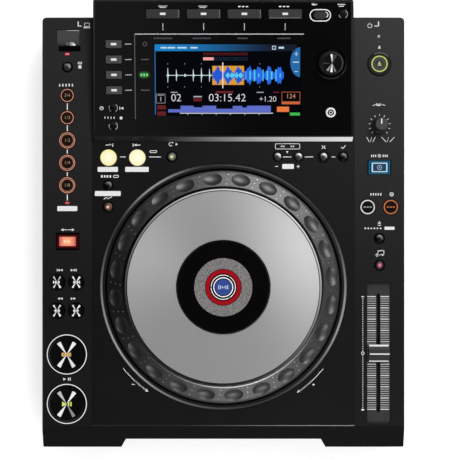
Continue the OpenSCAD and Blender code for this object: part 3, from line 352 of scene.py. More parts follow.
class Drawing:
    """Flat marks, drawn in millimetres and laid on a surface as one piece."""

    def __init__(self):
        self.outlines = []

    def outline(self, points):
        """Any closed shape."""
        self.outlines.append(points)

    def bar(self, x, y, width, depth, corner=0.0):
        """A rectangle about its middle, with round corners if asked."""
        half_w = width / 2 - corner
        half_d = depth / 2 - corner
        if corner == 0:
            self.outline([
                (x - half_w, y - half_d), (x + half_w, y - half_d),
                (x + half_w, y + half_d), (x - half_w, y + half_d),
            ])
            return
        points = []
        for turn, (side, end) in enumerate(((1, 1), (-1, 1), (-1, -1), (1, -1))):
            for step in range(7):
                angle = math.pi / 2 * (turn + step / 6)
                points.append((
                    x + side * half_w + corner * math.cos(angle),
                    y + end * half_d + corner * math.sin(angle),
                ))
        self.outline(points)

    def bars(self, *rows):
        """Several rectangles."""
        for row in rows:
            self.bar(*row)

    def row(self, count, first, pitch, y, *sizes):
        """Equal rectangles side by side, counted from the middle of the first."""
        for step in range(count):
            self.bar(first + pitch * step, y, *sizes)

    def frame(self, x, y, width, depth, corner, line):
        """The outline of a rectangle with round corners."""
        self.bar(x, y, width, depth, corner)
        inner = max(corner - line, 0)
        self.bar(x, y, width - 2 * line, depth - 2 * line, inner)

    def disc(self, x, y, radius, sides=32):
        """A filled circle."""
        self.outline([
            (x + radius * math.cos(2 * math.pi * i / sides),
             y + radius * math.sin(2 * math.pi * i / sides))
            for i in range(sides)
        ])

    def ring(self, x, y, radius, line, sides=48):
        """A circle's line, inwards from its radius."""
        self.disc(x, y, radius, sides)
        self.disc(x, y, radius - line, sides)

    def arc(self, x, y, radius, line, first, last, steps=24):
        """Part of a ring between two angles, in degrees."""
        outer, inner = [], []
        for step in range(steps + 1):
            angle = math.radians(first + (last - first) * step / steps)
            outer.append((x + radius * math.cos(angle), y + radius * math.sin(angle)))
            inner.append((
                x + (radius - line) * math.cos(angle),
                y + (radius - line) * math.sin(angle),
            ))
        self.outline(outer + inner[::-1])

    def line(self, start_point, end_point, width):
        """A straight stroke."""
        (x0, y0), (x1, y1) = start_point, end_point
        length = math.hypot(x1 - x0, y1 - y0)
        side_x = -(y1 - y0) / length * width / 2
        side_y = (x1 - x0) / length * width / 2
        self.outline([
            (x0 + side_x, y0 + side_y), (x0 - side_x, y0 - side_y),
            (x1 - side_x, y1 - side_y), (x1 + side_x, y1 + side_y),
        ])

    def triangle(self, x, y, size, toward=0):
        """An arrow head that points along an angle, in degrees."""
        self.outline([
            (x + size * math.cos(math.radians(toward + turn)),
             y + size * math.sin(math.radians(toward + turn)))
            for turn in (0, 125, 235)
        ])

    def heads(self, x, y, size, way):
        """Two arrow heads one behind the other, to the right or to the left."""
        for step in (-0.95, 0.85):
            self.triangle(x + way * step * size, y, size, 0 if way > 0 else 180)

    def diamond(self, x, y, size):
        """A square on its corner."""
        self.outline([(x - size, y), (x, y - size), (x + size, y), (x, y + size)])

    def lay(self, name, surface, body, material, slot, lift=0.03, thick=0.04):
        """Makes the marks a mesh and lays them on a surface, lifted clear of it by that many mm."""
        start()
        curve = bpy.data.curves.new(name, "CURVE")
        curve.dimensions = "2D"
        curve.fill_mode = "BOTH"
        curve.extrude = thick / 2 * MM
        for outline in self.outlines:
            spline = curve.splines.new("POLY")
            spline.points.add(len(outline) - 1)
            spline.use_cyclic_u = True
            for point, (x, y) in zip(spline.points, outline):
                point.co = (x * MM, y * MM, 0, 1)
        made = bpy.data.objects.new(name, curve)
        bpy.context.collection.objects.link(made)
        made.select_set(True)
        bpy.context.view_layer.objects.active = made
        bpy.ops.object.convert(target="MESH")
        made.data.transform(surface @ Matrix.Translation((0, 0, (lift + thick / 2) * MM)))
        return finished(name, body, material)


def bars(*rows):
    """A drawing of rectangles alone."""
    drawing = Drawing()
    drawing.bars(*rows)
    return drawing


def numeral(text, x, y, size, surface):
    """Plain numerals as a flat mesh, centred on a point in mm."""
    lift, half_thick = 0.03, 0.02
    start()
    bpy.ops.object.text_add()
    made = bpy.context.active_object
    made.data.body = text
    made.data.size = size * MM
    made.data.align_x = "CENTER"
    made.data.align_y = "CENTER"
    made.data.extrude = half_thick * MM
    made.data.offset = -0.011 * size * MM
    bpy.ops.object.convert(target="MESH")
    place = Matrix.Translation((x * MM, y * MM, (lift + half_thick) * MM))
    made.data.transform(surface @ place)
    return made


def joined(pieces):
    """Makes several meshes one, which is then the active object."""
    start()
    for piece in pieces:
        piece.select_set(True)
    bpy.context.view_layer.objects.active = pieces[0]
    bpy.ops.object.join()


# ---------------------------------------------------------------- finishes of the case

STRIP_EDGE = 111.5 * MM
FRONT_EDGE = -168.6 * MM
RECESS_MID = (132.25 * MM, -107.1 * MM)
RECESS_HALF = (9.95 * MM, 59.8 * MM)
TICK_PITCH = 1.92
THUMB_AT = (-131.9 * MM, 155.15 * MM)

# Keys with a black well that is part of the case, and its radius in mm
WELLS_IN_CASE = (
    ("cue_button", 16.2), ("play_button", 16.2), ("eject_button", 10.6), ("delete_button", 5.6),
)


def case_finish():
    """Satin black plastic: side strips a little lighter, with painted light that brightens them
    towards the back, painted shade on the front slope, and a grey floor in the slider's recess with
    painted shade at its back end.
    """
    finish = Finish("case_plastic", specular=0.14)
    x, y, z = finish.axes()
    strip = abs(x).above(STRIP_EDGE, 0.2 * MM)
    clouds = finish.noise(40 * MM, 3.0)
    # Painted light: the side strips get lighter towards the back.
    side = finish.mix(y.above(30 * MM, 120 * MM), grey(19, 1), grey(35, 1))
    deck = finish.mix(strip, grey(13, 1), side)
    # Painted shade: the sloping front is darker than the deck.
    slope = 1 - y.above(FRONT_EDGE - 0.3 * MM, 0.1 * MM)
    deck = finish.mix(slope, deck, grey(11, 1))
    worn = finish.mix(clouds * 0.3, deck, finish.mix(0.5, deck, grey(30, 2)))
    in_x = abs(x - RECESS_MID[0]).above(RECESS_HALF[0] + 0.1 * MM, 0.05 * MM)
    in_y = abs(y - RECESS_MID[1]).above(RECESS_HALF[1] + 0.1 * MM, 0.05 * MM)
    low = 1 - z.above(DECK_Z - 0.6 * MM, 0.2 * MM)
    floor = low * (1 - in_x) * (1 - in_y)
    # Painted shade: the recess floor is darker near its back end.
    depth = finish.mix(y.above(-48 * MM, 8 * MM), tone(54, 52, 53), tone(34, 33, 33))
    lined = finish.mix(floor, worn, depth)
    well = 0
    for node, reach in WELLS_IN_CASE:
        at = middle(node)
        away = ((x - at[0]) * (x - at[0]) + (y - at[1]) * (y - at[1])).math("SQRT")
        well = (1 - away.above(reach * MM, 0.15 * MM)) + well
    lined = finish.mix(well, lined, grey(6))
    finish.feed("Base Color", lined)
    finish.feed("Roughness", 0.36 + 0.1 * clouds + 0.3 * slope)
    finish.bump(finish.noise(0.45 * MM, 2.0), 0.012 * MM)
    return finish.material


def housing_finish():
    """The same plastic, with a silver strip along the front whose painted reflection brightens to the
    right, and a painted glow where it is bright.
    """
    finish = Finish("housing_plastic", specular=0.14, glow=0.7)
    x, v, height = finish.axes(face_origin, (face_tilt, 0, 0))
    clouds = finish.noise(40 * MM, 3.0)
    body = finish.mix(clouds, grey(20, 1), grey(28, 2))
    brushed = finish.noise(0.6 * MM, 2.0, (0.05, 1, 1))
    # Painted reflection on the silver strip: dark at the left, near white at the right.
    painted_reflection = x.above(35 * MM, 100 * MM)
    silver = finish.mix(painted_reflection, grey(24, 1), grey(240, 2))
    strip = (1 - v.above(-0.15 * MM, 0.08 * MM)) * height.above(-8 * MM, 0.3 * MM)
    strip = strip * abs(x).above(109.6 * MM, 0.3 * MM).math("SUBTRACT", 1).math("ABSOLUTE")
    streaked = finish.mix(brushed * 0.12, silver, grey(120, 4))
    finish.feed("Base Color", finish.mix(strip, body, streaked))
    # Painted glow on the bright part of the strip.
    painted_glow = finish.mix(strip * painted_reflection, grey(0), grey(178, 2))
    finish.feed("Emission Color", painted_glow)
    finish.feed("Roughness", 0.4 - 0.08 * strip)
    finish.bump(finish.noise(0.45 * MM, 2.0), 0.01 * MM)
    return finish.material


def panel_finish():
    """Polished black face, with a painted reflection that makes it a little greyer towards the left.
    """
    finish = Finish("face_gloss", rough=0.12, specular=0.3)
    x, _, _ = finish.axes()
    # Painted reflection: the face is greyer towards the left.
    left = 1 - x.above(-30 * MM, 70 * MM)
    haze = finish.noise(30 * MM, 3.0)
    finish.feed("Base Color", finish.mix(left, grey(7, 1), grey(22, 1)))
    finish.feed("Roughness", 0.1 + 0.06 * haze)
    return finish.material


def screen_finish():
    """Dark glass of the screen with a faint blue glow."""
    finish = Finish("screen_glass", rough=0.1, specular=0.12, glow=1.0)
    _, v, _ = finish.axes(face_origin, (face_tilt, 0, 0))
    rows = (v / (0.5 * MM)).math("FRACT").above(0.5, 0.3)
    finish.feed("Base Color", grey(4, 2))
    finish.feed("Emission Color", finish.mix(rows, tone(0, 1, 3), tone(2, 3, 6)))
    return finish.material


def lobe(angle, direction, sharp):
    """A soft peak of 1 round a direction, in degrees, that falls to 0 on the far side."""
    return ((angle - math.radians(direction)).math("COSINE") * 0.5 + 0.5).math("POWER", sharp)


def bezel_finish():
    """Semi-gloss black ring with painted highlights on its outer edge, at the front left, at the right
    and at the back left.
    """
    finish = Finish("bezel_plastic", specular=0.28)
    x, y, away = finish.around(DIAL_AXIS)
    angle = y.math("ARCTAN2", x)
    # Painted highlights on the outer edge, as lobes round the ring.
    painted_glint = lobe(angle, 212, 9) + lobe(angle, 345, 16) * 0.8 + lobe(angle, 124, 60) * 0.8
    edge = away.above(102.6 * MM, 0.5 * MM) * painted_glint
    clouds = finish.noise(25 * MM, 3.0)
    body = finish.mix(clouds, grey(13, 1), grey(22, 1))
    finish.feed("Base Color", finish.mix(edge, body, grey(165, 2)))
    finish.feed("Roughness", 0.3 + 0.08 * clouds)
    finish.bump(finish.noise(0.5 * MM), 0.006 * MM)
    return finish.material


def ring_finish():
    """Dark grey metallic paint with a fine sparkle, and a thin inner lip, on the turning ring; painted
    shade on its left side, and on the lip a painted highlight at the front and painted shade
    elsewhere.
    """
    finish = Finish("ring_silver", metal=0.9, specular=0.4)
    x, y, away = finish.around(DIAL_AXIS)
    lip = 1 - away.above(85.0 * MM, 0.25 * MM)
    # Painted highlight on the inner lip at the front; the rest of the lip is painted shade.
    lit = lobe(y.math("ARCTAN2", x), 283, 4)
    sparkle = finish.noise(0.35 * MM, 1.0)
    clouds = finish.noise(14 * MM, 2.0)
    base = finish.mix(clouds, grey(80, 1), grey(90, 1))
    paint = finish.mix(sparkle * 0.5, base, grey(118, 1))
    # Painted shade on the left side of the ring.
    paint = finish.mix(lobe(y.math("ARCTAN2", x), 182, 8) * 0.75, paint, grey(34, 1))
    edge = finish.mix(lit, grey(16, 1), grey(190, 1))
    finish.feed("Base Color", finish.mix(lip, paint, edge))
    finish.feed("Roughness", 0.4 + 0.08 * clouds)
    finish.bump(sparkle, 0.004 * MM)
    return finish.material


def platter_finish():
    """Turned aluminium plate: fine circles, a black groove, painted highlights on the plate, and a rim
    with a painted highlight at the back right and painted shade elsewhere.
    """
    finish = Finish("turned_metal", metal=0.35, specular=0.4)
    x, y, away = finish.around(DIAL_AXIS)
    groove = away.between(80.8 * MM, 81.5 * MM, 0.08 * MM)
    edge = away.above(82.75 * MM, 0.06 * MM)
    rim = away.between(81.5 * MM, 82.7 * MM, 0.06 * MM)
    circles = (away / (0.32 * MM)).math("SINE")
    angle = y.math("ARCTAN2", x)
    outwards = away.above(50 * MM, 30 * MM)
    # Painted highlights: lighter lobes to the right and, fainter, to the left, stronger towards the
    # edge.
    painted_shine = (lobe(angle, 24, 5) + lobe(angle, 160, 12) * 0.45) * (0.35 + 0.65 * outwards)
    plate = finish.mix(painted_shine, grey(150, 1), grey(212, 1))
    lined = finish.mix(0.03 + 0.03 * circles, plate, grey(90, 2))
    # Painted highlight on the rim at the back right, painted shade on the rest of it.
    rim_painted_light_and_shade = finish.mix(lobe(angle, 62, 2), grey(26, 1), grey(236, 2))
    bright = finish.mix(rim, lined, rim_painted_light_and_shade)
    finish.feed("Base Color", finish.mix(groove.math("MAXIMUM", edge), bright, grey(12, 1)))
    finish.feed("Roughness", 0.46 + 0.06 * finish.noise(30 * MM) - 0.2 * rim)
    finish.bump(circles * 0.5 + 0.5, 0.003 * MM)
    return finish.material


def dial_display_finish():
    """Round display: black glass, a grainy silver band, a red band and a blue middle."""
    finish = Finish("dial_display", rough=0.08, specular=0.3, glow=0.25)
    x, y, away = finish.around(DIAL_AXIS)
    away = away / MM
    angle = y.math("ARCTAN2", x)
    silver = away.between(15.5, 24.4, 0.12)
    red = away.between(11.6, 15.0, 0.12)
    outer_circle = away.between(9.9, 10.5, 0.1)
    inner_circle = away.between(7.6, 8.3, 0.1)
    # Three breaks in the outer circle
    breaks = (angle * 1.5).math("COSINE").math("ABSOLUTE").above(0.06, 0.02)
    blue = 1 - away.above(6.9, 0.12)
    rays = (angle * 60).math("SINE") * 0.5 + 0.5
    grain = finish.noise(0.8 * MM, 3.0)
    band = finish.mix(grain.above(0.5, 0.2), tone(74, 72, 73), tone(140, 138, 137))
    band = finish.mix(rays * 0.3, band, tone(80, 72, 76))
    picture = finish.mix(silver, tone(6, 5, 6), band)
    picture = finish.mix(red, picture, tone(138, 14, 24))
    picture = finish.mix(outer_circle * breaks, picture, tone(225, 222, 222))
    picture = finish.mix(inner_circle, picture, grey(236))
    picture = finish.mix(blue, picture, tone(48, 64, 128))
    # Plain level bars across the middle
    column = (x / (1.5 * MM)).math("FRACT").between(0.25, 0.7, 0.1)
    height = ((x / (2.6 * MM)).math("SINE").math("ABSOLUTE") * 1.3 + 0.5) * MM
    levels = column * (height - abs(y)).above(0, 0.15 * MM)
    levels = levels * (1 - abs(x).above(4.4 * MM, 0.2 * MM))
    picture = finish.mix(levels * 0.8, picture, tone(196, 206, 224))
    finish.feed("Base Color", picture)
    finish.feed("Emission Color", picture)
    finish.feed("Roughness", 0.08 + 0.04 * grain)
    return finish.material


def door_finish():
    """The memory door, with a painted highlight in the hollow behind its edge."""
    door = Finish("door_plastic", rough=0.42, specular=0.4)
    x, y, z = door.axes((THUMB_AT[0], THUMB_AT[1], 0))
    notch = (1 - z.above(DECK_Z - 0.25 * MM, 0.15 * MM)) * z.above(DECK_Z - 2 * MM, 0.2 * MM)
    shade = door.mix(door.noise(8 * MM), grey(52, 1), grey(64, 1))
    lower = 1 - y.above(3 * MM, 5 * MM)
    shade = door.mix(lower * 0.5, shade, grey(34, 1))
    # Painted highlight in the notch, brightest to the right.
    notch_painted_highlight = door.mix(x.above(-0.5 * MM, 3 * MM), grey(90, 2), grey(225, 1))
    door.feed("Base Color", door.mix(notch, shade, notch_painted_highlight))
    door.bump(door.noise(0.4 * MM), 0.01 * MM)
    return door.material


def board_finish():
    """Green boards with tracks, and the slider's metal can on them."""
    board = Finish("board_green", rough=0.45, specular=0.4, coat=0.3)
    tracks = board.noise(3 * MM, 0.0, (1, 0.15, 1)).above(0.55, 0.02)
    green = board.mix(tracks, tone(22, 74, 44), tone(44, 110, 66))
    # The slider's metal can stands on the boards; the slot along its middle is painted black as shade
    x, y, z = board.axes((RECESS_MID[0], RECESS_MID[1], 0))
    can = (1 - abs(x).above(6.7 * MM, 0.1 * MM)) * (1 - abs(y).above(55.4 * MM, 0.2 * MM))
    can = can * z.above(DECK_Z - 10.2 * MM, 0.1 * MM)
    slot = 1 - abs(x).above(2.6 * MM, 0.2 * MM)
    metal = board.mix(board.noise(6 * MM), tone(132, 134, 136), tone(156, 158, 160))
    board.feed("Base Color", board.mix(can, green, board.mix(slot, metal, grey(6))))
    board.bump(tracks, 0.03 * MM)
    return board.material


def socket_finish():
    """Black plastic, and nickel where the coaxial and memory sockets are."""
    sockets = Finish("socket_plastic", rough=0.45, specular=0.4)
    x, _, z = sockets.axes()
    coax = x.between(-69 * MM, -11 * MM, 0.1 * MM)
    memory = z.above(60 * MM, 0.2 * MM)
    shiny = coax.math("MAXIMUM", memory)
    clouds = sockets.noise(6 * MM)
    black = sockets.mix(clouds, grey(22, 1), grey(32, 1))
    nickel = sockets.mix(clouds, tone(168, 168, 166), tone(196, 196, 192))
    sockets.feed("Base Color", sockets.mix(shiny, black, nickel))
    sockets.feed("Metallic", 0.9 * shiny)
    sockets.feed("Roughness", 0.45 - 0.18 * shiny)
    return sockets.material


# ---------------------------------------------------------------- finishes of the keys

def painted_highlight_arm(x, y, direction, half_angle, blur=0.22 * MM):
    """Mask of one painted highlight wedge that widens outwards from a key's middle."""
    turn = math.radians(direction)
    along = x * math.cos(turn) + y * math.sin(turn)
    across = abs(y * math.cos(turn) - x * math.sin(turn))
    inside = along * math.tan(math.radians(half_angle)) - across
    return inside.above(0, blur) * along.above(0.4 * MM, 0.3 * MM)


def spun_cap(name, about, painted_arms, reach, turn=(0, 0, 0)):
    """Black key cap turned on a lathe, with painted highlight wedges across its face."""
    finish = Finish(name, rough=0.28, metal=0.1, specular=0.25)
    x, y, away = finish.around(about, turn)
    circles = (away / (0.09 * MM)).math("SINE") * 0.5 + 0.5
    colour = finish.mix(circles * 0.4, grey(5, 1), grey(12, 1))
    for direction, half_angle, level in painted_arms:
        wedge = painted_highlight_arm(x, y, direction, half_angle)
        inside = 1 - away.above(reach, 0.25 * MM)
        share = wedge * inside * (0.9 + 0.1 * circles)
        colour = finish.mix(share, colour, grey(level))
    finish.feed("Base Color", colour)
    finish.feed("Roughness", 0.24 + 0.06 * circles)
    finish.bump(circles, 0.004 * MM)
    return finish.material


BEAT_RADII = (5.7, 5.7, 7, 7, 7)
# Painted highlight wedges of the spun caps: direction, half angle and grey level.
TRANSPORT_PAINTED_ARMS = {
    "cue_button": [(56.6, 8.5, 255), (123.6, 8.5, 248), (236.4, 8.5, 252), (300.5, 8, 242)],
    "play_button": [(56.6, 8.5, 255), (123.6, 8, 205), (236.4, 8.5, 252), (300.5, 7, 150)],
}
SEARCH_PAINTED_ARMS = {
    "track_back_button": [(58, 8, 190), (122, 8, 210), (238, 8, 220), (302, 9, 255)],
    "track_next_button": [(54, 9, 255), (122, 8, 250), (237, 8, 250), (305, 9, 255)],
    "search_back_button": [(58, 8, 235), (123, 8, 240), (238, 8, 250), (302, 9, 255)],
    "search_next_button": [(55, 9, 255), (122, 8, 235), (237, 8, 250), (304, 9, 255)],
}


def ring_cap(name, node, radius, rings, ring, core, glow, halo=(9, 8, 8)):
    """Key with thin lit rings, each from one radius to another in mm, round a dark glossy middle, with
    the rings' glow painted on the cap round them.
    """
    finish = Finish(name, rough=0.25, specular=0.12, glow=glow)
    away = finish.around((*middle(node), 0))[2]
    lit = 0
    for low, high in rings:
        lit = away.between(low * MM, high * MM, 0.14 * MM) + lit
    haze = (1 - (away / radius)).above(0.5, 0.5)
    inner = finish.mix(haze, core, tone(9, 8, 8))
    # Painted glow: outside three quarters of the radius the cap takes the halo colour, the lit rings'
    # light painted on it.
    inner = finish.mix(away.above(radius * 0.76, 0.2 * MM), inner, tone(*halo))
    patch = finish.noise(2.5 * MM)
    patchy = finish.mix(patch * 0.4, ring, tone(120, 84, 70))
    finish.feed("Base Color", finish.mix(lit, inner, patchy))
    finish.feed("Emission Color", finish.mix(lit, grey(0), ring))
    finish.feed("Roughness", 0.2 + 0.2 * lit)
    return finish.material


def small_cap(name, node, pale, dark, rough=0.3, metal=0.2, rim=0.8):
    """Small domed key in a dark rim, with a painted highlight where its dome faces the back right."""
    finish = Finish(name, rough=rough, metal=metal, specular=0.1)
    radius = half_of(node)[0]
    x, y, away = finish.around((*middle(node), 0))
    # Painted highlight on the side of the dome towards the back right.
    painted_shine = (x * 0.6 + y).above(0.15 * radius, 0.5 * radius)
    painted_shine = painted_shine * away.above(0.25 * radius, 0.3 * radius)
    edge = away.above(rim * radius, 0.1 * radius)
    colour = finish.mix(painted_shine, dark, pale)
    finish.feed("Base Color", finish.mix(edge, colour, grey(9)))
    finish.feed("Roughness", rough + 0.08 * finish.noise(1.5 * MM))
    finish.bump(finish.noise(0.4 * MM), 0.005 * MM)
    return finish.material


def eyed_lamp(name, node, eye, body, rim):
    """Small lit key: a bright eye, a deep body and a thin pale rim that is a glowing painted highlight
    on its back right side.
    """
    finish = Finish(name, rough=0.3, specular=0.12, glow=0.9)
    x, y, away = finish.around((*middle(node), 0))
    away = away / half_of(node)[0]
    colour = finish.mix(away.above(0.3, 0.2), eye, body)
    colour = finish.mix(away.above(0.68, 0.12), colour, tone(8, 6, 5))
    # Painted highlight: the pale rim shows only towards the back right.
    painted_highlight_side = lobe(y.math("ARCTAN2", x), 40, 2)
    colour = finish.mix(away.between(0.74, 0.9, 0.06) * painted_highlight_side, colour, rim)
    finish.feed("Base Color", tone(10, 9, 9))
    finish.feed("Emission Color", colour)
    finish.feed("Roughness", 0.25 + 0.08 * finish.noise(1 * MM))
    return finish.material


def key_field(name, node, centre, side, rim, line):
    """Lit oblong key that is deeper in colour towards its ends, in a dark rim line mm wide."""
    finish = Finish(name, rough=0.35, specular=0.25, glow=0.95)
    half_x, half_y = half_of(node)
    x, y, _ = finish.axes((*middle(node), 0))
    left_right = abs(x).above(half_x * 0.55, half_x * 0.5)
    ends = left_right.math("MAXIMUM", abs(y).above(half_y * 0.8, half_y * 0.5))
    inside_x = 1 - abs(x).above(half_x - line * MM, 0.25 * MM)
    inside_y = 1 - abs(y).above(half_y - line * MM, 0.25 * MM)
    colour = finish.mix(ends, centre, side)
    finish.feed("Emission Color", finish.mix(inside_x * inside_y, rim, colour))
    finish.feed("Base Color", tone(12, 10, 10))
    finish.feed("Roughness", 0.3 + 0.08 * finish.noise(3 * MM))
    return finish.material


# ---------------------------------------------------------------- dressing the CAD nodes

def dress_case():
    """Outside: case, display unit, dial, back, feet and door."""
    dress("top_case", case_finish())
    dress("display_housing", housing_finish())
    dress("display_panel", panel_finish())
    dress("lcd_module", screen_finish())
    dress("jog_bezel", bezel_finish())
    dress("jog_ring", ring_finish())
    dress("jog_platter", platter_finish())
    dress("jog_window", dial_display_finish())
    bottom_paint = plain("bottom_paint", tone(34, 35, 37), tone(42, 43, 45), 0.55)
    dress("bottom_case", bottom_paint)
    dress("back_panel", bottom_paint)
    dress("rubber_feet", plain(
        "foot_rubber", grey(22), grey(30), 0.8, specular=0.3, depth=0.05 * MM))
    dress("case_screws", plain(
        "screw_steel", grey(40, 2), grey(58, 2), 0.4, metal=0.8))
    dress("usb_door", door_finish())
    dress("power_switch", plain("switch_plastic", grey(26, 1), grey(34, 1), 0.4))


def dress_inside():
    """Inside: drive, shafts, boards and sockets."""
    zinc = plain("zinc_sheet", tone(140, 143, 146), tone(168, 171, 174), 0.38, metal=0.9)
    steel = plain("turned_steel", tone(170, 172, 175), tone(196, 198, 200), 0.28, metal=0.95)
    dress("drive_chassis", zinc)
    dress("jog_pedestal", plain(
        "pedestal_metal", tone(96, 98, 100), tone(118, 120, 122), 0.45, metal=0.8))
    dress("disc_spindle", steel)
    dress("circuit_boards", board_finish())
    dress("sockets", socket_finish())
    dress("lead_screw", plain(
        "lead_steel", tone(160, 162, 165), tone(190, 192, 195), 0.3, metal=0.95))
    dress("selector_shaft", plain(
        "shaft_steel", grey(150, 2), grey(180, 2), 0.3, metal=0.9))
    dress("loading_roller", plain(
        "roller_rubber", grey(24, 1), grey(36, 1), 0.7, depth=0.04 * MM))
    dress("pickup_sled", plain("sled_plastic", tone(36, 37, 40), tone(48, 49, 52), 0.45))


def dress_keys():
    """Caps of all the keys and knobs."""
    for table, reach in ((TRANSPORT_PAINTED_ARMS, 12.2), (SEARCH_PAINTED_ARMS, 5.6)):
        for node, painted_arms in table.items():
            dress(node, spun_cap(node + "_cap", (*middle(node), 0), painted_arms, reach * MM))
    copper = tone(214, 150, 128)
    for number in range(1, 6):
        node = f"beat_button_{number}"
        rings = [(4.95, 5.35)] if number < 3 else [(5.15, 5.45), (6.25, 6.65)]
        radius = BEAT_RADII[number - 1] * MM
        dress(node, ring_cap(
            node + "_cap", node, radius, rings, copper, tone(44, 26, 18), 0.6, (30, 13, 10)))
    for key, radius, ring_at, ring, core, glow, halo in (
        ("sync", 6.4, (5.2, 6.1), tone(212, 212, 208), grey(20), 0.25, (34, 34, 34)),
        ("master", 6.4, (5.2, 6.0), tone(186, 106, 58), tone(30, 18, 12), 0.35, (52, 20, 10)),
        ("eject", 7.5, (6.15, 6.75), tone(206, 216, 128), tone(74, 74, 66), 0.3, (88, 94, 34)),
    ):
        node = key + "_button"
        dress(node, ring_cap(key + "_cap", node, radius * MM, [ring_at], ring, core, glow, halo))
    for node in ("four_beat_button", "tempo_range_button", "memory_button"):
        dress(node, small_cap(node + "_cap", node, grey(104, 2), grey(6)))
    dress("usb_stop_button", small_cap(
        "usb_stop_cap", "usb_stop_button", grey(120, 2), grey(46, 1), rim=0.78))
    for node in ("call_back_button", "call_next_button", "delete_button"):
        dress(node, small_cap(
            node + "_cap", node, grey(185), grey(52, 1), metal=0.3, rim=0.78))
    for node in ("tag_button", "time_button", "quantize_button"):
        dress(node, small_cap(node + "_cap", node, grey(40, 2), grey(14, 1), rim=0.95))
    for key, eye, body, rim in (
        ("reloop", tone(236, 242, 170), tone(120, 122, 104), tone(120, 120, 118)),
        ("slip", tone(255, 212, 186), tone(104, 62, 48), tone(134, 112, 102)),
        ("key_lock", tone(238, 150, 178), tone(120, 58, 76), tone(30, 24, 26)),
    ):
        dress(key + "_button", eyed_lamp(key + "_lamp", key + "_button", eye, body, rim))
    for node, edge in (
        ("loop_in_button", tone(250, 240, 178)), ("loop_out_button", tone(252, 244, 196)),
    ):
        about = (*middle(node), 0)
        dress(node, lamp(
            node + "_lamp", tone(255, 254, 226), edge, about, 7 * MM, 6.85 * MM, tone(70, 38, 14)))
    for key, centre, side, rim, line in (
        ("direction", tone(255, 176, 138), tone(226, 92, 90), tone(58, 12, 14), 0.75),
        ("jog_mode", tone(120, 220, 255), tone(70, 176, 232), tone(8, 20, 36), 0.6),
    ):
        dress(key + "_button", key_field(key + "_lamp", key + "_button", centre, side, rim, line))
    for node, name, colour, lighter, rough in (
        ("menu_keys", "menu_plastic", grey(36, 1), grey(46, 1), 0.38),
        ("source_keys", "source_plastic", grey(58, 1), grey(70, 1), 0.42),
        ("back_button", "back_plastic", grey(34, 2), grey(48, 2), 0.3),
        ("tempo_slider", "slider_plastic", grey(44, 2), grey(58, 2), 0.38),
        ("speed_knob", "speed_plastic", grey(26, 1), grey(34, 1), 0.42),
        ("selector_knob", "selector_plastic", grey(20, 1), grey(28, 1), 0.4),
    ):
        dress(node, plain(name, colour, lighter, rough))


# ---------------------------------------------------------------- marks on the deck

def mark_deck():
    """Screen-printed pills, ticks, arrows and scales, with the key wells, painted glow and painted
    shade round keys, and a painted highlight along the front edge.
    """
    white = ink("white_ink", grey(232))
    marks = Drawing()
    draw_labels(marks)
    draw_wing_icons(marks)
    draw_dial_arrows(marks)
    draw_speed_scale(marks)
    draw_slider_scale(marks)
    draw_play_and_eject(marks)
    draw_loop_signs(marks)
    draw_left_signs(marks)
    draw_right_signs(marks)
    draw_point_signs(marks)
    marks.lay("deck_marks", DECK, "case", white, "key_white")
    mark_beat_line(white)
    mark_wells()
    mark_front_line()
    mark_slider_recess(white)


def draw_labels(marks):
    """Filled labels, and short lines between the keys of the row."""
    row_y = spot("loop_in_button")[1]
    for x, y, width in ((-98.2, 49.1, 17.2), (-73.4, 49.1, 20.0), (-98.2, 28.6, 21.9),
                        (-132.6, 15.8, 17.0), (55.0, 51.6, 9.9)):
        marks.bar(x, y, width, 4.2, 0.7)
    marks.frame(54.6, 68.7, 21.1, 4.9, 1.2, 0.45)
    for first, last in ((-87.9, -83.0), (-63.0, -53.1), (50.6, 57.8), (69.2, 76.4), (92.0, 95.2)):
        marks.bar((first + last) / 2, row_y + 0.6, last - first, 0.6)


def draw_wing_icons(marks):
    """Leads to the back, a computer and a stand-by sign, at the back of the wings."""
    marks.bars((-123.4, 172.7, 0.9, 4.2), (-121.8, 170.9, 2.6, 0.7))
    marks.frame(-115.9, 172.0, 4.6, 3.4, 0.3, 0.55)
    marks.bars((-115.9, 169.6, 5.8, 1.0, 0.3), (131.9, 172.7, 0.9, 4.2), (130.0, 170.9, 3.2, 0.7))
    marks.arc(124.5, 171.2, 2.0, 0.45, 120, 420)
    marks.bar(124.5, 172.8, 0.45, 1.8)


def draw_dial_arrows(marks):
    """Arrows round the dial for back and forward."""
    for first, last, toward in ((219.2, 233.6, 324), (320.6, 305.6, 216)):
        marks.arc(0, DIAL_Y, 110.1, 0.5, first, last)
        marks.arc(0, DIAL_Y, 110.3, 0.9, (first + last) / 2, last)
        tip = math.radians(last)
        marks.triangle(109.8 * math.cos(tip), DIAL_Y + 109.8 * math.sin(tip), 1.7, toward)
    marks.bar(-76.6, -133.6, 2.6, 0.6)
    marks.diamond(76.6, -133.8, 1.0)


def draw_speed_scale(marks):
    """Steps round the speed knob, and two little curves of stopping, quick and slow."""
    knob_x, knob_y = spot("speed_knob")
    for step in range(11):
        angle = math.radians(225 - 27 * step)
        inner = (knob_x + 7.9 * math.cos(angle), knob_y + 7.9 * math.sin(angle))
        outer = (knob_x + 9.4 * math.cos(angle), knob_y + 9.4 * math.sin(angle))
        marks.line(inner, outer, 0.45)
    for x, run in ((121.8, 2.2), (134.4, 4.0)):
        marks.line((x, 76.6), (x + run, 72.4), 0.5)
        marks.line((x + run + 0.9, 72.4), (x + run + 2.0, 76.6), 0.3)
        marks.line((x + run + 3.0, 72.4), (x + 2 * run + 3.0, 76.6), 0.5)


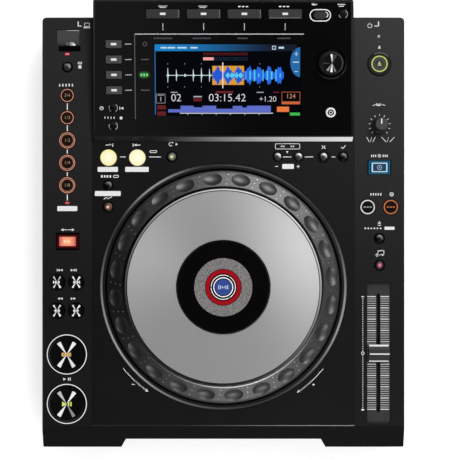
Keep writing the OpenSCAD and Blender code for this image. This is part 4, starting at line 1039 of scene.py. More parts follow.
def draw_slider_scale(marks):
    """Scale beside the slider."""
    scale_x, scale_y = 118.5, RECESS_MID[1] / MM
    half_scale = 25 * TICK_PITCH
    for step in range(-24, 25):
        if step:
            marks.bar(scale_x, scale_y + TICK_PITCH * step, 0.8, 0.7)
    marks.bar(scale_x, scale_y + half_scale, 2.4, 0.7)
    marks.ring(scale_x, scale_y, 1.35, 0.5)
    low = scale_y - half_scale
    marks.outline([
        (scale_x - 1.6, low), (scale_x, low - 0.9), (scale_x + 1.6, low), (scale_x, low + 0.9),
    ])


def draw_play_and_eject(marks):
    """Play and pause signs above the play key, and the eject sign above the eject key."""
    play_x, play_y = spot("play_button")
    marks.triangle(play_x - 2.2, play_y + 21.0, 1.5, 0)
    for x in (1.2, 2.8):
        marks.bar(play_x + x, play_y + 21.0, 0.8, 2.5)
    eject_x, eject_y = spot("eject_button")
    marks.triangle(eject_x, eject_y + 14.6, 1.2, 90)
    marks.bar(eject_x, eject_y + 13.3, 2.2, 0.5)


def draw_loop_signs(marks):
    """Signs above the keys for loops and for slipping."""
    # Loop in, loop out, and both back again
    for node, way in (("loop_in_button", 1), ("loop_out_button", -1)):
        x, y = spot(node)
        marks.triangle(x + way * 1.6, y + 10.7, 1.4, 0 if way > 0 else 180)
        marks.bars((x - way * 0.9, y + 10.7, 3.4, 0.6), (x + way * 3.6, y + 10.7, 0.7, 2.6))
    x, y = spot("reloop_button")
    marks.arc(x - 1, y + 10.7, 1.7, 0.6, 50, 330)
    marks.triangle(x + 0.4, y + 11.9, 1.2, 200)
    marks.triangle(x + 4.0, y + 10.7, 1.3, 0)
    marks.frame(-59.5, 64.2, 6.2, 2.2, 1.1, 0.5)
    # A loop of four steps, and the slip sign
    x, y = spot("four_beat_button")
    marks.row(4, x - 5.4, 2.4, y + 7.6, 1.4, 2.0, 0.2)
    marks.frame(x + 6.6, y + 7.6, 5.0, 2.4, 1.2, 0.55)
    x, y = spot("slip_button")
    marks.line((x - 3.6, y + 6.8), (x - 0.6, y + 8.4), 0.6)
    marks.line((x - 0.6, y + 6.8), (x + 3.4, y + 8.8), 0.6)


def draw_left_signs(marks):
    """Signs on the left wing."""
    # Parts of a beat, above the column of numbered keys
    marks.row(5, -139.1, 2.7, 120.7, 1.0, 2.2)
    # Stop sign beside the memory stick's key
    marks.frame(-121.9, 139.4, 3.4, 1.8, 0.3, 0.5)
    marks.bar(-121.9, 136.2, 2.6, 2.6, 0.3)
    # Forwards and backwards
    x, y = spot("direction_button")
    for way, toward in ((1, 0), (-1, 180)):
        marks.triangle(x + way * 4.4, y + 9.9, 1.4, toward)
        marks.bar(x + way * 1.9, y + 9.9, 3.2, 0.6)
    for node, other, skips in (
        ("track_back_button", "track_next_button", True),
        ("search_back_button", "search_next_button", False),
    ):
        x = (spot(node)[0] + spot(other)[0]) / 2
        y = spot(node)[1] + 10.2
        for way in (-1, 1):
            marks.heads(x + way * 5.4, y, 1.3, way)
            if skips:
                marks.bar(x + way * 8.1, y, 0.6, 2.2)


def draw_right_signs(marks):
    """Right wing: stand-by, dial speed, dial mode, matched beats, tempo range and held pitch."""
    marks.ring(132.1, 162.2, 1.0, 0.4, 24)
    marks.heads(132.3, 104.3, 1.5, 1)
    marks.arc(132.3, 93.4, 11.4, 0.5, 62, 118)
    x, y = spot("jog_mode_button")
    marks.ring(x, y + 9.9, 1.4, 0.45, 24)
    marks.disc(x, y + 9.9, 0.4, 12)
    for side in (-1, 1):
        marks.row(3, x + side * 3.2, side * 1.7, y + 9.9, 0.8, 2.0)
    marks.row(5, 125.4, 2.1, 27.9, 0.9, 2.0)
    marks.ring(143.0, 27.9, 1.7, 0.6, 24)
    marks.disc(143.0, 27.9, 0.5, 12)
    x, y = spot("tempo_range_button")
    marks.bars((x, y + 13.0, 2.8, 0.7), (x, y + 13.4, 0.7, 2.4), (x, y + 11.2, 2.8, 0.6))
    marks.row(6, x - 12.0, 2.6, y + 8.6, 1.2, 1.2)
    marks.bar(x + 8.6, y + 8.7, 8.4, 2.6, 0.3)
    x, y = spot("key_lock_button")
    for note in (-2.2, 2.6):
        marks.ring(x + note, y + 8.6, 1.2, 0.5, 24)
        marks.bar(x + note + 0.95, y + 10.6, 0.5, 4.0)
    marks.bar(x + 1.15, y + 12.3, 4.8, 0.7)


def draw_point_signs(marks):
    """Signs of the keys for points in a tune."""
    # Cross and tick, for deleting and keeping
    x, y = spot("delete_button")
    for first, last in ((6.8, 9.4), (9.4, 6.8)):
        marks.line((x - 1.4, y + first), (x + 1.4, y + last), 0.6)
    x, y = spot("memory_button")
    marks.line((x - 1.8, y + 8.2), (x - 0.4, y + 6.8), 0.6)
    marks.line((x - 0.5, y + 6.8), (x + 2.0, y + 9.6), 0.6)
    # Two flags for calling points, and longer and shorter
    marks.heads(50.4, 68.7, 1.0, -1)
    marks.heads(58.8, 68.7, 1.0, 1)
    marks.triangle(54.3, 63.9, 1.2, 270)
    marks.bars((45.3, 51.6, 2.6, 0.6), (63.6, 51.6, 2.6, 0.6), (63.6, 51.6, 0.6, 2.6))


def mark_beat_line(white):
    """Line between the beat keys."""
    links = Drawing()
    beats = [spot(f"beat_button_{number}") for number in range(1, 6)]
    for index in range(4):
        top = beats[index][1] - BEAT_RADII[index] - 0.9
        low = beats[index + 1][1] + BEAT_RADII[index + 1] + 0.9
        links.bar(beats[0][0], (top + low) / 2, 0.8, top - low)
    links.bar(beats[0][0], beats[4][1] - 10.4, 0.8, 5.0)
    links.lay("beat_line", DECK, "case", white, "key_white")


def mark_wells():
    """Black gloss trims that the smaller keys stand in, black edging round the two lit oblong keys
    with their light painted on the deck round them, painted shade in the hollow in front of the memory
    door, and a painted red glow round the beat keys.
    """
    wells = Drawing()
    for node, cap, reach in (
        ("memory_button", 3.8, 4.6), ("call_back_button", 3.8, 4.4),
        ("call_next_button", 3.8, 4.4), ("reloop_button", 3.8, 4.9), ("usb_stop_button", 3.8, 4.7),
        ("four_beat_button", 3.8, 4.6), ("slip_button", 3.8, 4.9), ("tempo_range_button", 3.8, 4.8),
        ("key_lock_button", 3.8, 4.8), ("sync_button", 6.4, 6.9), ("master_button", 6.4, 6.9),
        ("track_back_button", 6.2, 7.0), ("track_next_button", 6.2, 7.0),
        ("search_back_button", 6.2, 7.0), ("search_next_button", 6.2, 7.0),
    ):
        x, y = spot(node)
        wells.ring(x, y, reach, reach - cap - 0.35)
    black = ink("well_black", grey(6), specular=0.0)
    # The dial mode key stands on a pad that is half a millimetre high
    for node, colour, slot, raised, reach in (
        ("direction_button", tone(74, 12, 14), "key_orange", 0.0, 5.8),
        ("jog_mode_button", tone(34, 110, 150), "key_blue", 0.5, 2.7),
    ):
        x, y = spot(node)
        width, depth = (2 * half / MM for half in half_of(node))
        edging = Drawing()
        edging.frame(x, y, width + 4.8, depth + reach, 0.8, (reach - 0.5) / 2)
        edging.lay(
            node + "_edging", DECK, "case", black, "panel_gloss", lift=raised + 0.01, thick=0.02)
        # Painted light of the key on the deck round it, which glows.
        painted_spill = Drawing()
        painted_spill.frame(x, y, width + 2.8, depth + 2.0, 0.8, 0.8)
        light_ink = ink(node + "_spill", colour, 1.0, 0.0)
        painted_spill.lay(node + "_spill", DECK, "case", light_ink, slot, lift=raised + 0.04)
    # Painted shade: the hollow in front of the memory door is black
    wells.bar(-130.6, 151.6, 18.4, 4.6)
    wells.lay("key_wells", DECK, "case", black, "panel_gloss", lift=0.01, thick=0.02)
    # Painted glow of the beat keys' red light on the deck round them.
    painted_halos = Drawing()
    for number, radius in enumerate(BEAT_RADII, start=1):
        x, y = spot(f"beat_button_{number}")
        painted_halos.ring(x, y, radius + 1.1, 0.8)
    red = ink("halo_red", tone(44, 16, 15))
    painted_halos.lay("beat_halos", DECK, "case", red, "key_orange", lift=0.01, thick=0.02)


def mark_front_line():
    """Painted highlight: a thin bright line where the deck meets the sloping front, brighter to the
    right.
    """
    painted_shine = Finish("edge_shine", rough=0.35, metal=0.5)
    x, _, _ = painted_shine.axes()
    # The painted highlight brightens towards the right.
    right = x.above(25 * MM, 70 * MM)
    painted_shine.feed("Base Color", painted_shine.mix(right, grey(48, 2), grey(150, 2)))
    edge = bars((0, FRONT_EDGE / MM, 2 * STRIP_EDGE / MM, 0.7))
    edge.lay("front_edge_line", DECK, "case", painted_shine.material, "case_plastic", lift=0.0)


def mark_slider_recess(white):
    """Tick lines on the recess floor, both sides of the slot."""
    floor = Matrix.Translation((0, 0, DECK_Z - 2.5 * MM))
    mid_x = spot("tempo_slider")[0]
    mid_y = RECESS_MID[1] / MM
    fine, strong = Drawing(), Drawing()
    for step in range(-25, 26):
        sheet = fine if step % 5 else strong
        for side, width in ((-1, 7.6), (1, 7.4)):
            x = mid_x + side * (1.9 + width / 2)
            sheet.bar(x, mid_y + TICK_PITCH * step, width, 0.55 if step % 5 else 0.75)
    fine.lay("slider_ticks", floor, "case", ink("dim_ink", tone(190, 188, 189)), "key_white")
    strong.lay("slider_marks", floor, "case", white, "key_white")


# ---------------------------------------------------------------- lamps and legends on keys

def mark_keys():
    """Signs on all the keys and knobs."""
    white = ink("legend_white", grey(238))
    mark_play_and_cue()
    mark_search_keys(white)
    mark_numbered_keys()
    mark_dashed_keys()
    mark_eject_key()
    mark_dial_mode_key()
    mark_direction_key()
    mark_face_keys()
    mark_speed_knob(white)
    mark_selector()
    mark_slider_cap(white)


def mark_play_and_cue():
    """Lit signs on the play and cue keys, and the lit rims round these keys."""
    for node, colour in (
        ("cue_button", tone(252, 206, 134)), ("play_button", tone(222, 236, 120)),
    ):
        x, y = spot(node)
        level = over(node, -0.5)
        sign = Drawing()
        if node == "cue_button":
            for along in (-3.0, 0.0):
                sign.frame(x + along, y, 2.5, 3.0, 0.5, 0.75)
            sign.bars(
                (x + 2.6, y + 1.1, 2.1, 0.75), (x + 2.6, y, 2.1, 0.6), (x + 2.6, y - 1.1, 2.1, 0.75),
            )
        else:
            sign.triangle(x - 2.4, y, 2.6, 0)
            sign.bars((x + 1.6, y, 1.1, 3.6), (x + 3.6, y, 1.1, 3.6))
        light_ink = ink(node + "_light", colour, 1.0)
        sign.lay(node + "_sign", level, node, light_ink, "key_cream", thick=0.1)
        about = (x * MM, y * MM, DECK_Z + 0.75 * MM)
        turned([(16.3, 0), (16.3, 0.2), (16.95, 0.2), (17.0, 0)], about, 64)
        rim_ink = ink(node + "_rim_light", grey(244), 1.0)
        finished(node + "_rim", "case", rim_ink)


def mark_search_keys(white):
    """Skip and search signs: double arrow heads, with a bar on the keys that skip."""
    for node, way, skips in (
        ("track_back_button", -1, True), ("track_next_button", 1, True),
        ("search_back_button", -1, False), ("search_next_button", 1, False),
    ):
        x, y = spot(node)
        sign = Drawing()
        sign.heads(x, y, 1.5, way)
        if skips:
            sign.bar(x + way * 3.0, y, 0.7, 2.4)
        sign.lay(node + "_sign", over(node), node, white, "key_white")


def mark_numbered_keys():
    """Plain fractions on the beat keys."""
    pale = ink("numeral_ink", tone(236, 206, 164), 0.5)
    numerals = ("3/4", "1/3", "1/2", "1/4", "1/8")
    for number, text in enumerate(numerals, start=1):
        node = f"beat_button_{number}"
        numeral(text, *spot(node), 4.0, over(node, -0.35))
        finished(node + "_numeral", node, pale)


def mark_dashed_keys():
    """Plain dashes across the sync and master keys."""
    for node, colour in (
        ("sync_button", tone(176, 176, 172)), ("master_button", tone(206, 118, 60)),
    ):
        x, y = spot(node)
        level = over(node, -0.35)
        dashes = Drawing()
        dashes.row(3, x - 2.5, 2.5, y, 1.9, 1.2, 0.2)
        dashes.lay(node + "_sign", level, node, ink(node + "_dashes", colour, 0.7), "key_white")


def mark_eject_key():
    """Sign on the eject key, and a painted highlight on its collar."""
    x, y = spot("eject_button")
    level = over("eject_button", -0.35)
    sign = Drawing()
    sign.triangle(x, y + 0.5, 1.9, 90)
    sign.bar(x, y - 1.3, 3.2, 0.7)
    pale_green = ink("eject_light", tone(205, 215, 150), 0.8)
    sign.lay("eject_sign", level, "eject_button", pale_green, "key_green")
    # Painted highlight on the top of the key's raised collar
    painted_glint = Drawing()
    painted_glint.arc(x, y, 9.65, 0.5, 40, 120)
    grey_ink = ink("collar_glint", grey(120))
    painted_glint.lay("eject_glint", DECK, "case", grey_ink, "key_grey", lift=1.61)


def mark_dial_mode_key():
    """Border, field and sign of the dial mode key."""
    x, y = spot("jog_mode_button")
    level = over("jog_mode_button")
    border = Drawing()
    border.frame(x, y, 12.8, 8.0, 0.6, 0.8)
    cool = ink("cool_light", tone(215, 240, 250), 0.9)
    border.lay("jog_mode_border", level, "jog_mode_button", cool, "key_blue")
    navy = ink("navy_light", tone(22, 62, 104), 0.7)
    bars((x, y, 11.2, 6.4)).lay("jog_mode_field", level, "jog_mode_button", navy, "key_blue")
    disc = Drawing()
    disc.ring(x, y, 2.1, 0.5)
    disc.disc(x, y, 0.6, 16)
    pale_blue = ink("sign_light", tone(170, 205, 225), 0.9)
    disc.lay("jog_mode_sign", level, "jog_mode_button", pale_blue, "key_blue", lift=0.08)


def mark_direction_key():
    """Arrow heads on the direction key."""
    x, y = spot("direction_button")
    arrow = Drawing()
    arrow.triangle(x + 1.0, y, 1.9, 0)
    arrow.triangle(x - 2.2, y, 1.9, 0)
    warm = ink("arrow_light", tone(255, 226, 170), 1.0)
    level = over("direction_button")
    arrow.lay("direction_sign", level, "direction_button", warm, "key_orange")


def mark_face_keys():
    """Lit bars on the keys round the screen, and painted highlights along an edge of each menu key."""
    level = FACE @ Matrix.Translation((0, 0, 0.8 * MM))
    bright = ink("bar_light", grey(245), 0.9)
    menu_bars = bars(*((x, MENU_V, 4.7, 1.9, 0.3) for x in MENU_AT))
    menu_bars.lay("menu_bars", level, "menu_keys", bright, "key_white")
    source_bars = bars(*((-91.7, v, 4.7, 1.9, 0.3) for v in SOURCE_AT))
    source_bars.lay("source_bars", level, "source_keys", bright, "key_white")
    # Painted highlights: grey lines along one edge of each menu key.
    painted_edge_highlights = bars(*((x + 13.3, MENU_V, 0.5, 6.6) for x in MENU_AT[:3]))
    painted_edge_highlights.bar(MENU_AT[3], FACE_LENGTH - 14.1, 26.4, 0.5)
    grey_ink = ink("edge_grey", grey(120, 2))
    painted_edge_highlights.lay("menu_key_edges", level, "menu_keys", grey_ink, "key_grey")


def mark_speed_knob(white):
    """Pointer of the speed knob."""
    x, y = spot("speed_knob")
    pointer = bars((x, y + 2.3, 0.9, 4.4))
    pointer.lay("speed_pointer", over("speed_knob"), "speed_knob", white, "key_white")


def mark_selector():
    """Cap of the selector, turned on a lathe and bright with painted highlight wedges, and painted
    highlights on its collar.
    """
    face_point = FACE @ Vector((*SELECTOR_ON_FACE, 0))
    turn = Matrix.Rotation(face_tilt, 4, "X")
    profile = [(0, 0.3), (8.1, 0.3), (8.3, 0.1), (8.3, -0.1)]
    turned(profile, face_point + 16.6 * MM * face_normal, 64, turn)
    painted_arms = [(96, 7, 250), (72, 12, 70), (180, 5, 60), (236, 8, 150), (264, 8, 255), (290, 6, 130)]
    metal = spun_cap("selector_cap_metal", face_point, painted_arms, 7.4 * MM, (face_tilt, 0, 0))
    finished("selector_cap", "selector_knob", metal)
    # Painted highlights: thin arcs on the edge of the knob's collar
    painted_glint = Drawing()
    collar_x, collar_v = (part / MM for part in SELECTOR_ON_FACE)
    for first, last in ((40, 150), (190, 250)):
        painted_glint.arc(collar_x, collar_v, 13.7, 0.5, first, last)
    grey_ink = ink("dim_glint", grey(92, 1))
    painted_glint.lay("selector_glint", FACE, "case", grey_ink, "key_grey", lift=0.05)


def mark_slider_cap(white):
    """White lines across the slider's cap."""
    slider_x, slider_y = spot("tempo_slider")
    top = top_of("tempo_slider") / MM
    lines = []
    for offset, height, lean, depth in (
        (0, top, 0, 0.9), (6.6, top - 6.3, -30, 1.6), (-6.6, top - 6.3, 30, 1.1),
    ):
        start()
        bpy.ops.mesh.primitive_cube_add(size=1)
        strip = bpy.context.active_object
        strip.data.transform(
            Matrix.Translation((slider_x * MM, (slider_y + offset) * MM, height * MM))
            @ Matrix.Rotation(math.radians(lean), 4, "X")
            @ Matrix.Diagonal((16.6 * MM, depth * MM, 0.12 * MM, 1))
        )
        lines.append(strip)
    joined(lines)
    finished("slider_lines", "tempo_slider", white)


# ---------------------------------------------------------------- marks and lamps on the face

def mark_face():
    """Lines, signs, lamps and painted highlights on the display face."""
    grey_ink = ink("face_grey_ink", grey(86, 2))
    bright = ink("face_ink", grey(190))
    lines = bars((-74.1, 50.3, 0.7, 71.0))
    lines.lay("face_side_line", FACE, "case", grey_ink, "panel_gloss")
    marks = Drawing()
    marks.bar(-3.2, 85.9, 141.2, 0.75)
    for x, v in zip(MENU_AT, SOURCE_AT):
        marks.bars((x, 92.0, 0.6, 5.8), (-79.6, v, 5.4, 0.6))
    marks.lay("face_lines", FACE, "case", bright, "key_white")
    mark_face_signs()
    dim = Drawing()
    dim.ring(-65.6, 77.6, 1.8, 0.5, 24)
    dim.bars((-65.6, 64.8, 6.6, 0.8), (-65.6, 39.2, 7.4, 0.8))
    dim.lay("face_dim_signs", FACE, "case", grey_ink, "panel_gloss")
    mark_source_lamp()
    mark_face_painted_highlights()
    labels = Drawing()
    for first, last in ((-58.3, -42.6), (-25.9, -10.4), (11.7, 20.5), (45.1, 56.2)):
        labels.bar((first + last) / 2, 82.4, last - first, 1.3, 0.3)
    labels.lay("face_dim_labels", FACE, "case", ink("faint_light", tone(58, 58, 66)), "panel_gloss")


def mark_face_signs():
    """Signs beside the keys of the face, and the outline of the back key."""
    white = ink("face_white_ink", grey(228))
    signs = Drawing()
    signs.frame(81, FACE_LENGTH - 11.9, 18.0, 10.2, 5.05, 0.85)
    signs.frame(82.2, FACE_LENGTH - 11.4, 11.0, 5.0, 2.45, 0.7)
    # Bent arrow for going back, and a disc sign
    signs.line((75.2, FACE_LENGTH - 2.9), (78.2, FACE_LENGTH - 2.9), 0.6)
    signs.triangle(74.8, FACE_LENGTH - 2.9, 1.4, 180)
    signs.ring(90.6, 20.5, 4.2, 1.5)
    signs.ring(90.6, 20.5, 1.6, 0.6, 24)
    # Signs over the menu keys and beside the time, quantize and tag keys
    for x in (17.0, 51.1):
        signs.row(3, x - 3.6, 3.2, 108.6, 2.0, 1.0, 0.2)
    for x in (-50.4, -17.0):
        signs.bars((x, 109.0, 7.6, 0.5), (x, 107.8, 5.4, 0.5))
    signs.ring(-102.5, 24.1, 1.6, 0.5, 24)
    signs.bar(-102.5, 24.7, 0.5, 1.4)
    signs.triangle(-85.0, 24.1, 1.5, 180)
    signs.bar(-87.2, 24.1, 0.6, 2.4)
    signs.row(4, -99.8, 2.6, 16.1, 0.7, 1.8)
    signs.disc(-86.2, 15.9, 1.2, 20)
    signs.bars((98.4, 110.4, 6.6, 0.6), (98.4, 108.9, 4.4, 0.6))
    signs.lay("face_signs", FACE, "case", white, "key_white")


def mark_source_lamp():
    """Green lamp of the source that is on."""
    about = tuple(FACE @ Vector((-66.4 * MM, 52 * MM, 0)))
    green = lamp("green_lamp", tone(26, 104, 38), tone(4, 22, 8), about, 5.5 * MM)
    bars((-66.4, 52.0, 10.2, 5.6, 2.7)).lay("source_lamp", FACE, "case", green, "key_green")
    core = bars(*((x, 52.0, 1.7, 2.2, 0.4) for x in (-68.8, -66.4, -64.0)))
    bright_green = ink("green_core", tone(130, 226, 142), 0.9)
    core.lay("source_lamp_core", FACE, "case", bright_green, "key_green", lift=0.1)


def mark_face_painted_highlights():
    """Painted highlights on the rims of the small round keys."""
    painted_crescents = Drawing()
    for x, v in ((-92.6, 24.4), (-92.8, 9.2)):
        painted_crescents.arc(x, v, 3.7, 1.9, 150, 236)
        painted_crescents.arc(x, v, 3.7, 0.65, -62, 52)
    painted_crescents.arc(100.1, FACE_LENGTH - 10.9, 3.7, 1.4, -58, 62)
    painted_crescents.arc(100.1, FACE_LENGTH - 10.9, 3.7, 0.7, 190, 240)
    pale = ink("painted_glint", grey(196, 1))
    painted_crescents.lay("face_key_glints", FACE, "case", pale, "key_grey", lift=0.05)


def make_door_catch():
    """Hollow for the thumb in the memory door's front edge, with a painted highlight where it faces
    right.
    """
    catch = Finish("catch_plastic", rough=0.4, specular=0.3)
    x, _, _ = catch.axes((-129.4 * MM, 0, 0))
    # Painted highlight: the hollow turns from grey to near white towards the right.
    painted_highlight_side = x.above(0.6 * MM, 3 * MM)
    catch.feed("Base Color", catch.mix(painted_highlight_side, grey(66, 1), grey(226)))
    catch.feed("Roughness", 0.35 + 0.1 * catch.noise(1 * MM))
    hollow = Drawing()
    hollow.outline([
        (-129.6 + 4.0 * math.cos(math.radians(angle)),
         154.3 + 2.9 * math.sin(math.radians(angle)))
        for angle in range(0, 181, 12)
    ])
    hollow.lay("door_catch", DECK, "usb_door", catch.material, "key_grey")


def make_lamps():
    """Lens of each small lamp in the deck."""
    spots = (
        ("stop_lamp", (-134.1, 138.9), 0.75, tone(206, 200, 200), tone(120, 110, 110)),
        ("standby_lamp", (132.0, 157.5), 0.6, tone(130, 116, 116), tone(60, 50, 50)),
    )
    for name, (x, y), radius, centre, edge in spots:
        about = (x * MM, y * MM, DECK_Z)
        turned(dome(radius, 0.45), about, 24)
        finished(name, "case", lamp(name + "_glow", centre, edge, about, radius * MM))
    for name, y, halo, core in (
        ("beat_lamp", 20.6, tone(120, 28, 30), tone(240, 110, 110)),
        ("memory_lamp", 147.1, tone(158, 20, 52), tone(255, 146, 172)),
    ):
        about = (-132.6 * MM, y * MM, 0)
        glow = lamp(name + "_halo", halo, tone(40, 10, 14), about, 3 * MM)
        bars((-132.6, y, 5.4, 3.2, 1.5)).lay(name + "_glow", DECK, "case", glow, "key_pink")
        lit = ink(name + "_light", core, 1.0)
        bars((-132.6, y, 3.5, 1.0, 0.4)).lay(name, DECK, "case", lit, "key_pink", lift=0.1)


# ---------------------------------------------------------------- what the screen shows

def swell(share, beats):
    """Loudness along a tune: a rounded swell on each beat."""
    ripple = 0.1 * math.sin(97 * share) + 0.08 * math.sin(41 * share + 1)
    return 0.3 + 0.62 * math.sin(math.pi * share * beats) ** 2 + ripple


def wave(drawing, first, last, mid, height, beats, steps=90):
    """A filled tune outline that is the same above and below its middle line."""
    upper, lower = [], []
    for step in range(steps + 1):
        share = step / steps
        x = first + (last - first) * share
        half = height * swell(share, beats)
        upper.append((x, mid + half))
        lower.append((x, mid - half))
    drawing.outline(upper + lower[::-1])


def shown(name, drawing, colour, lift=0.03):
    """Lights a drawing up on the screen in one colour."""
    pixels = ink("pixel_" + name, colour, 1.0)
    drawing.lay("screen_" + name, GLASS, "case", pixels, "screen", lift=lift)


def show_screen():
    """Plain picture of a tune: title bar, waves, numerals and an overview. All of it is generic."""
    show_title()
    shown("side", bars((-57.2, 45.2, 0.8, 53.0)), tone(44, 104, 170))
    words = Drawing()
    for x, width in ((-50, 5), (-43.5, 6.5), (-34.5, 8), (-24.5, 6)):
        words.bar(x, 74.6, width, 1.3, 0.3)
    words.frame(42.5, 74.6, 3.2, 3.2, 0.3, 0.6)
    words.bar(48.6, 74.6, 4.6, 1.6, 0.3)
    shown("words", words, tone(196, 222, 240), lift=0.08)
    cells = Drawing()
    for index in range(4):
        cells.frame(-12.4 + 9.4 * index, 69.4, 8.6, 1.7, 0.1, 0.3)
    shown("count_red", cells, tone(128, 30, 30))
    cells = Drawing()
    for index in range(1, 4):
        cells.frame(-12.4 + 9.4 * index, 65.4, 8.6, 2.0, 0.1, 0.3)
    shown("count_blue", cells, tone(26, 60, 96))
    shown("count_on", bars((-12.4, 65.4, 8.8, 2.4, 0.2)), tone(250, 170, 170))
    show_waves()
    show_numerals()
    show_overview()


def show_title():
    """Bar that fades from blue to dark along the top."""
    title = Finish("pixel_title", rough=0.3, specular=0.2, glow=1.0)
    x, _, _ = title.axes()
    fade = x.above(-8 * MM, 55 * MM)
    title.feed("Emission Color", title.mix(fade, tone(22, 128, 200), tone(8, 14, 34)))
    title.feed("Base Color", tone(4, 6, 10))
    title.feed("Roughness", 0.3 + 0.05 * title.noise(2 * MM))
    bar = bars((2.0, 74.6, 119, 5.6))
    bar.lay("screen_title", GLASS, "case", title.material, "screen")


def show_waves():
    """The tune as it runs past the playing point, and the scale sign beside it."""
    mid = 51.6
    line = Drawing()
    line.bar(-28.5, mid, 39.0, 0.5)
    for x, half in (
        (-46.6, 6.2), (-39.4, 4.8), (-32.4, 1.2), (-25.2, 5.0), (-18.4, 6.0), (-11.6, 5.4),
    ):
        for way in (1, -1):
            line.outline([
                (x - 0.4, mid + way * 0.25), (x - 0.15, mid + way * half),
                (x + 0.15, mid + way * half), (x + 0.5, mid + way * 1.2),
                (x + 1.3, mid + way * 0.25),
            ])
    shown("spikes", line, tone(214, 236, 240))
    shown("loop_block", bars((4.1, mid, 26.6, 15.8)), tone(226, 158, 48))
    inner = Drawing()
    wave(inner, -9.0, 17.2, mid, 7.6, 3)
    shown("loop_wave", inner, tone(20, 88, 214), lift=0.08)
    later = Drawing()
    wave(later, 17.6, 50.8, mid, 7.8, 4)
    shown("wave", later, tone(24, 104, 232))
    core = Drawing()
    for index in range(9):
        x = 19.0 + 3.6 * index
        width = 0.5 + 0.9 * abs(math.sin(2.3 * index))
        core.bar(x, mid, width, 3.0 + 7.0 * abs(math.sin(1.9 * index + 0.6)), 0.2)
    wave(core, 2.0, 16.6, mid, 2.6, 4)
    shown("wave_core", core, tone(86, 204, 246), lift=0.13)
    shown("playhead", bars((-0.4, mid, 0.75, 21.5)), tone(246, 244, 238), lift=0.18)
    ticks = Drawing()
    for x in (-46.6, -32.4, -18.4, 30.6):
        ticks.bars((x, mid + 9.6, 0.5, 0.9), (x, mid - 9.6, 0.5, 0.9))
    shown("ticks", ticks, tone(140, 140, 146))
    zoom = Drawing()
    zoom.outline([
        (64.4 - 8.2 * math.cos(math.radians(angle)),
         62.6 + 12.4 * math.sin(math.radians(angle)))
        for angle in range(-90, 91, 10)
    ])
    shown("zoom", zoom, tone(22, 104, 168))
    shown("zoom_signs", bars(
        (61.2, 69.4, 2.8, 0.6), (61.2, 70.55, 0.6, 1.1), (61.2, 68.25, 0.6, 1.1),
        (60.9, 62.6, 5.2, 0.8), (61.2, 54.8, 2.8, 0.6),
    ), tone(200, 228, 244), lift=0.08)


def show_numerals():
    """Number of the tune, time, tempo and the small labels round them."""
    joined([
        numeral("02", -39.6, 32.6, 9.0, GLASS),
        numeral("03:15.42", 3.4, 32.6, 9.2, GLASS),
        numeral("+1.20", 37.4, 31.6, 6.4, GLASS),
    ])
    finished("screen_numerals", "case", ink("pixel_numerals", grey(226), 1.0))
    numeral("124", 56.8, 34.0, 5.4, GLASS)
    finished("screen_tempo", "case", ink("pixel_tempo", tone(214, 150, 110), 1.0))
    deck = Drawing()
    deck.frame(-52.6, 32.2, 7.8, 8.0, 0.6, 0.4)
    deck.bars((-52.6, 31.8, 0.9, 3.6), (-52.6, 35.0, 5.0, 0.7))
    shown("deck_number", deck, tone(150, 150, 156))
    shown("labels", bars(
        (-21.6, 33.8, 7.0, 1.0), (-41.4, 37.4, 5.6, 0.7), (31.0, 37.4, 6.0, 0.7),
    ), grey(180, 4))
    shown("red_labels", bars(
        (-21.6, 31.2, 7.0, 2.4), (1.0, 37.6, 14.5, 1.8), (44.4, 37.4, 5.0, 0.8),
    ), tone(104, 16, 24))
    tempo_frame = Drawing()
    tempo_frame.frame(56.9, 33.6, 15.6, 8.4, 0.4, 0.35)
    tempo_frame.bar(56.9, 28.4, 15.4, 2.0)
    shown("tempo_frame", tempo_frame, tone(206, 98, 52))


def show_overview():
    """The whole tune in one strip, with the boxes at its ends."""
    blocks = Drawing()
    top = [(-46.4, 2.6), (-36.0, 2.6), (-36.0, 5.6), (-25.0, 5.6), (-25.0, 4.2), (-17.5, 4.2),
           (-17.5, 5.6), (-6.0, 5.6), (-6.0, 3.0), (8.0, 3.0), (8.0, 5.4), (16.0, 5.4), (16.0, 4.0),
           (20.0, 4.0), (20.0, 5.6), (40.0, 5.6)]
    blocks.outline([(-46.4, 20.6)] + [(x, 20.6 + height) for x, height in top] + [(40.0, 20.6)])
    shown("overview", blocks, tone(92, 108, 204))
    rule = Drawing()
    rule.bar(2.6, 19.9, 78.4, 0.8)
    for x in range(-30, 41, 12):
        rule.bar(x, 18.9, 0.5, 0.9)
    shown("overview_rule", rule, tone(205, 205, 222))
    shown("red_boxes", bars((-52.0, 24.8, 7.4, 3.6), (-52.0, 19.6, 7.4, 3.6)), tone(96, 18, 22))
    shown("orange_box", bars((50.3, 23.2, 10.2, 4.4)), tone(240, 122, 58))
    shown("green_box", bars((60.4, 19.2, 8.4, 2.4)), tone(52, 190, 72))


# ---------------------------------------------------------------- small parts

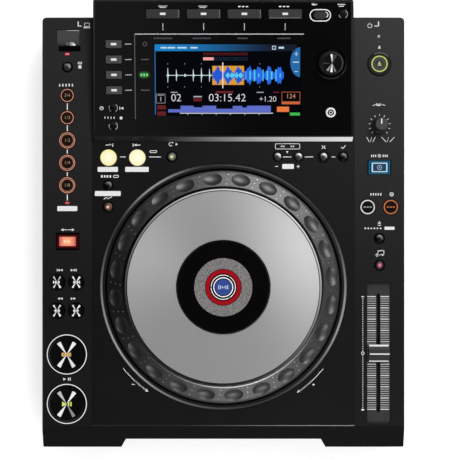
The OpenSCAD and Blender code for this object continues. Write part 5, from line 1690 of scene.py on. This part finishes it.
def make_ring_dots():
    """Three grip dots in each gap between the finger dimples."""
    inner_radius, outer_radius = 84, 96.5
    inner_height, outer_height = 12.0, 8.0
    slope = math.atan((inner_height - outer_height) / (outer_radius - inner_radius))
    sunk = 0.06
    first_dimple, dimples = 80.6, 24
    pitch = 360 / dimples
    one = turned(dome(0.62, 0.4, 2), (0, 0, 0), 10)
    dots = []
    for gap in range(dimples):
        angle = math.radians(first_dimple + pitch / 2 + pitch * gap)
        for radius, drift in ((86.9, 0.6), (91.0, 0.0), (95.0, -0.6)):
            height = inner_height - (radius - inner_radius) * math.tan(slope)
            place = (
                Matrix.Translation((0, DIAL_Y * MM, DECK_Z))
                @ Matrix.Rotation(angle + math.radians(drift), 4, "Z")
                @ Matrix.Translation((radius * MM, 0, (height - sunk) * MM))
                @ Matrix.Rotation(slope, 4, "Y")
            )
            dot = one.copy()
            dot.data = one.data.copy()
            dot.data.transform(place)
            bpy.context.collection.objects.link(dot)
            dots.append(dot)
    bpy.data.objects.remove(one)
    joined(dots)
    silver = plain("dot_silver", grey(150, 2), grey(190, 2), 0.25, metal=0.9)
    finished("ring_dots", "jog_ring", silver)


# ---------------------------------------------------------------- studio

def light(name, place, aim, width, depth, power):
    """A soft box that points at a spot."""
    data = bpy.data.lights.new(name, "AREA")
    data.shape = "RECTANGLE"
    data.size = width
    data.size_y = depth
    data.energy = power
    lit = bpy.data.objects.new(name, data)
    lit.location = place
    lit.rotation_euler = (Vector(aim) - Vector(place)).to_track_quat("-Z", "Y").to_euler()
    bpy.context.collection.objects.link(lit)


def make_studio():
    """Pale paper under the player, three soft boxes and the light of the room."""
    start()
    bpy.ops.mesh.primitive_plane_add(size=12)
    floor = bpy.context.active_object
    floor.name = "studio_floor"
    paper = Finish("floor_paper", rough=0.9, specular=0.0, glow=0.55)
    rays = paper.node("LightPath")
    seen = rays.math("MAXIMUM", rays.outlet("Is Glossy Ray"))
    paper.feed("Base Color", grey(232))
    paper.feed("Emission Color", paper.mix(seen, grey(0), grey(255)))
    floor.data.materials.append(paper.material)
    light("back_softbox", (0.28, 0.69, 1.07), (0, -0.05, 0.08), 0.62, 0.34, 5.4)
    light("front_softbox", (0.17, -0.79, 1.07), (0, -0.05, 0.08), 0.62, 0.34, 4.0)
    light("high_softbox", (0.62, 0.62, 1.9), (0, 0, 0.06), 0.7, 0.7, 9.0)
    make_world()


class Air(Finish):
    """The light of the room, made of the same kind of nodes."""

    def __init__(self, name):
        world = bpy.data.worlds.new(name)
        bpy.context.scene.world = world
        world.use_nodes = True
        self.tree = world.node_tree
        self.surface = self.tree.nodes["Background"]


def make_world():
    """Mirrors see the white paper low down and the dark ceiling high up, and the camera sees white."""
    air = Air("studio_air")
    air.feed("Color", (1, 1, 1, 1))
    rays = air.node("LightPath")
    direction = air.node("TexCoord")
    height = air.node("SeparateXYZ", values={0: direction}, out=2)
    ceiling = air.node(
        "MapRange", {"interpolation_type": "SMOOTHSTEP"},
        {0: height, 1: -0.02, 2: 0.12, 3: 1.0, 4: 0.02},
    )
    mirror = rays.outlet("Is Glossy Ray").math("MAXIMUM", rays.outlet("Is Transmission Ray"))
    soft = air.node("Mix", values={0: mirror, 2: 0.45, 3: ceiling})
    air.feed("Strength", air.node("Mix", values={0: rays, 2: soft, 3: 1.0}))


def make_camera():
    """Straight above the player, as far off as the photograph was taken."""
    data = bpy.data.cameras.new("camera")
    data.sensor_width = 36
    data.lens = 105.9
    data.clip_end = 20
    camera = bpy.data.objects.new("camera", data)
    camera.location = (5.65 * MM, -2.4 * MM, 1.225)
    bpy.context.collection.objects.link(camera)
    bpy.context.scene.camera = camera
    bpy.context.scene.view_settings.view_transform = "Standard"


dress_case()
dress_inside()
dress_keys()
mark_deck()
mark_keys()
mark_face()
make_door_catch()
make_lamps()
show_screen()
make_ring_dots()
make_studio()
make_camera()
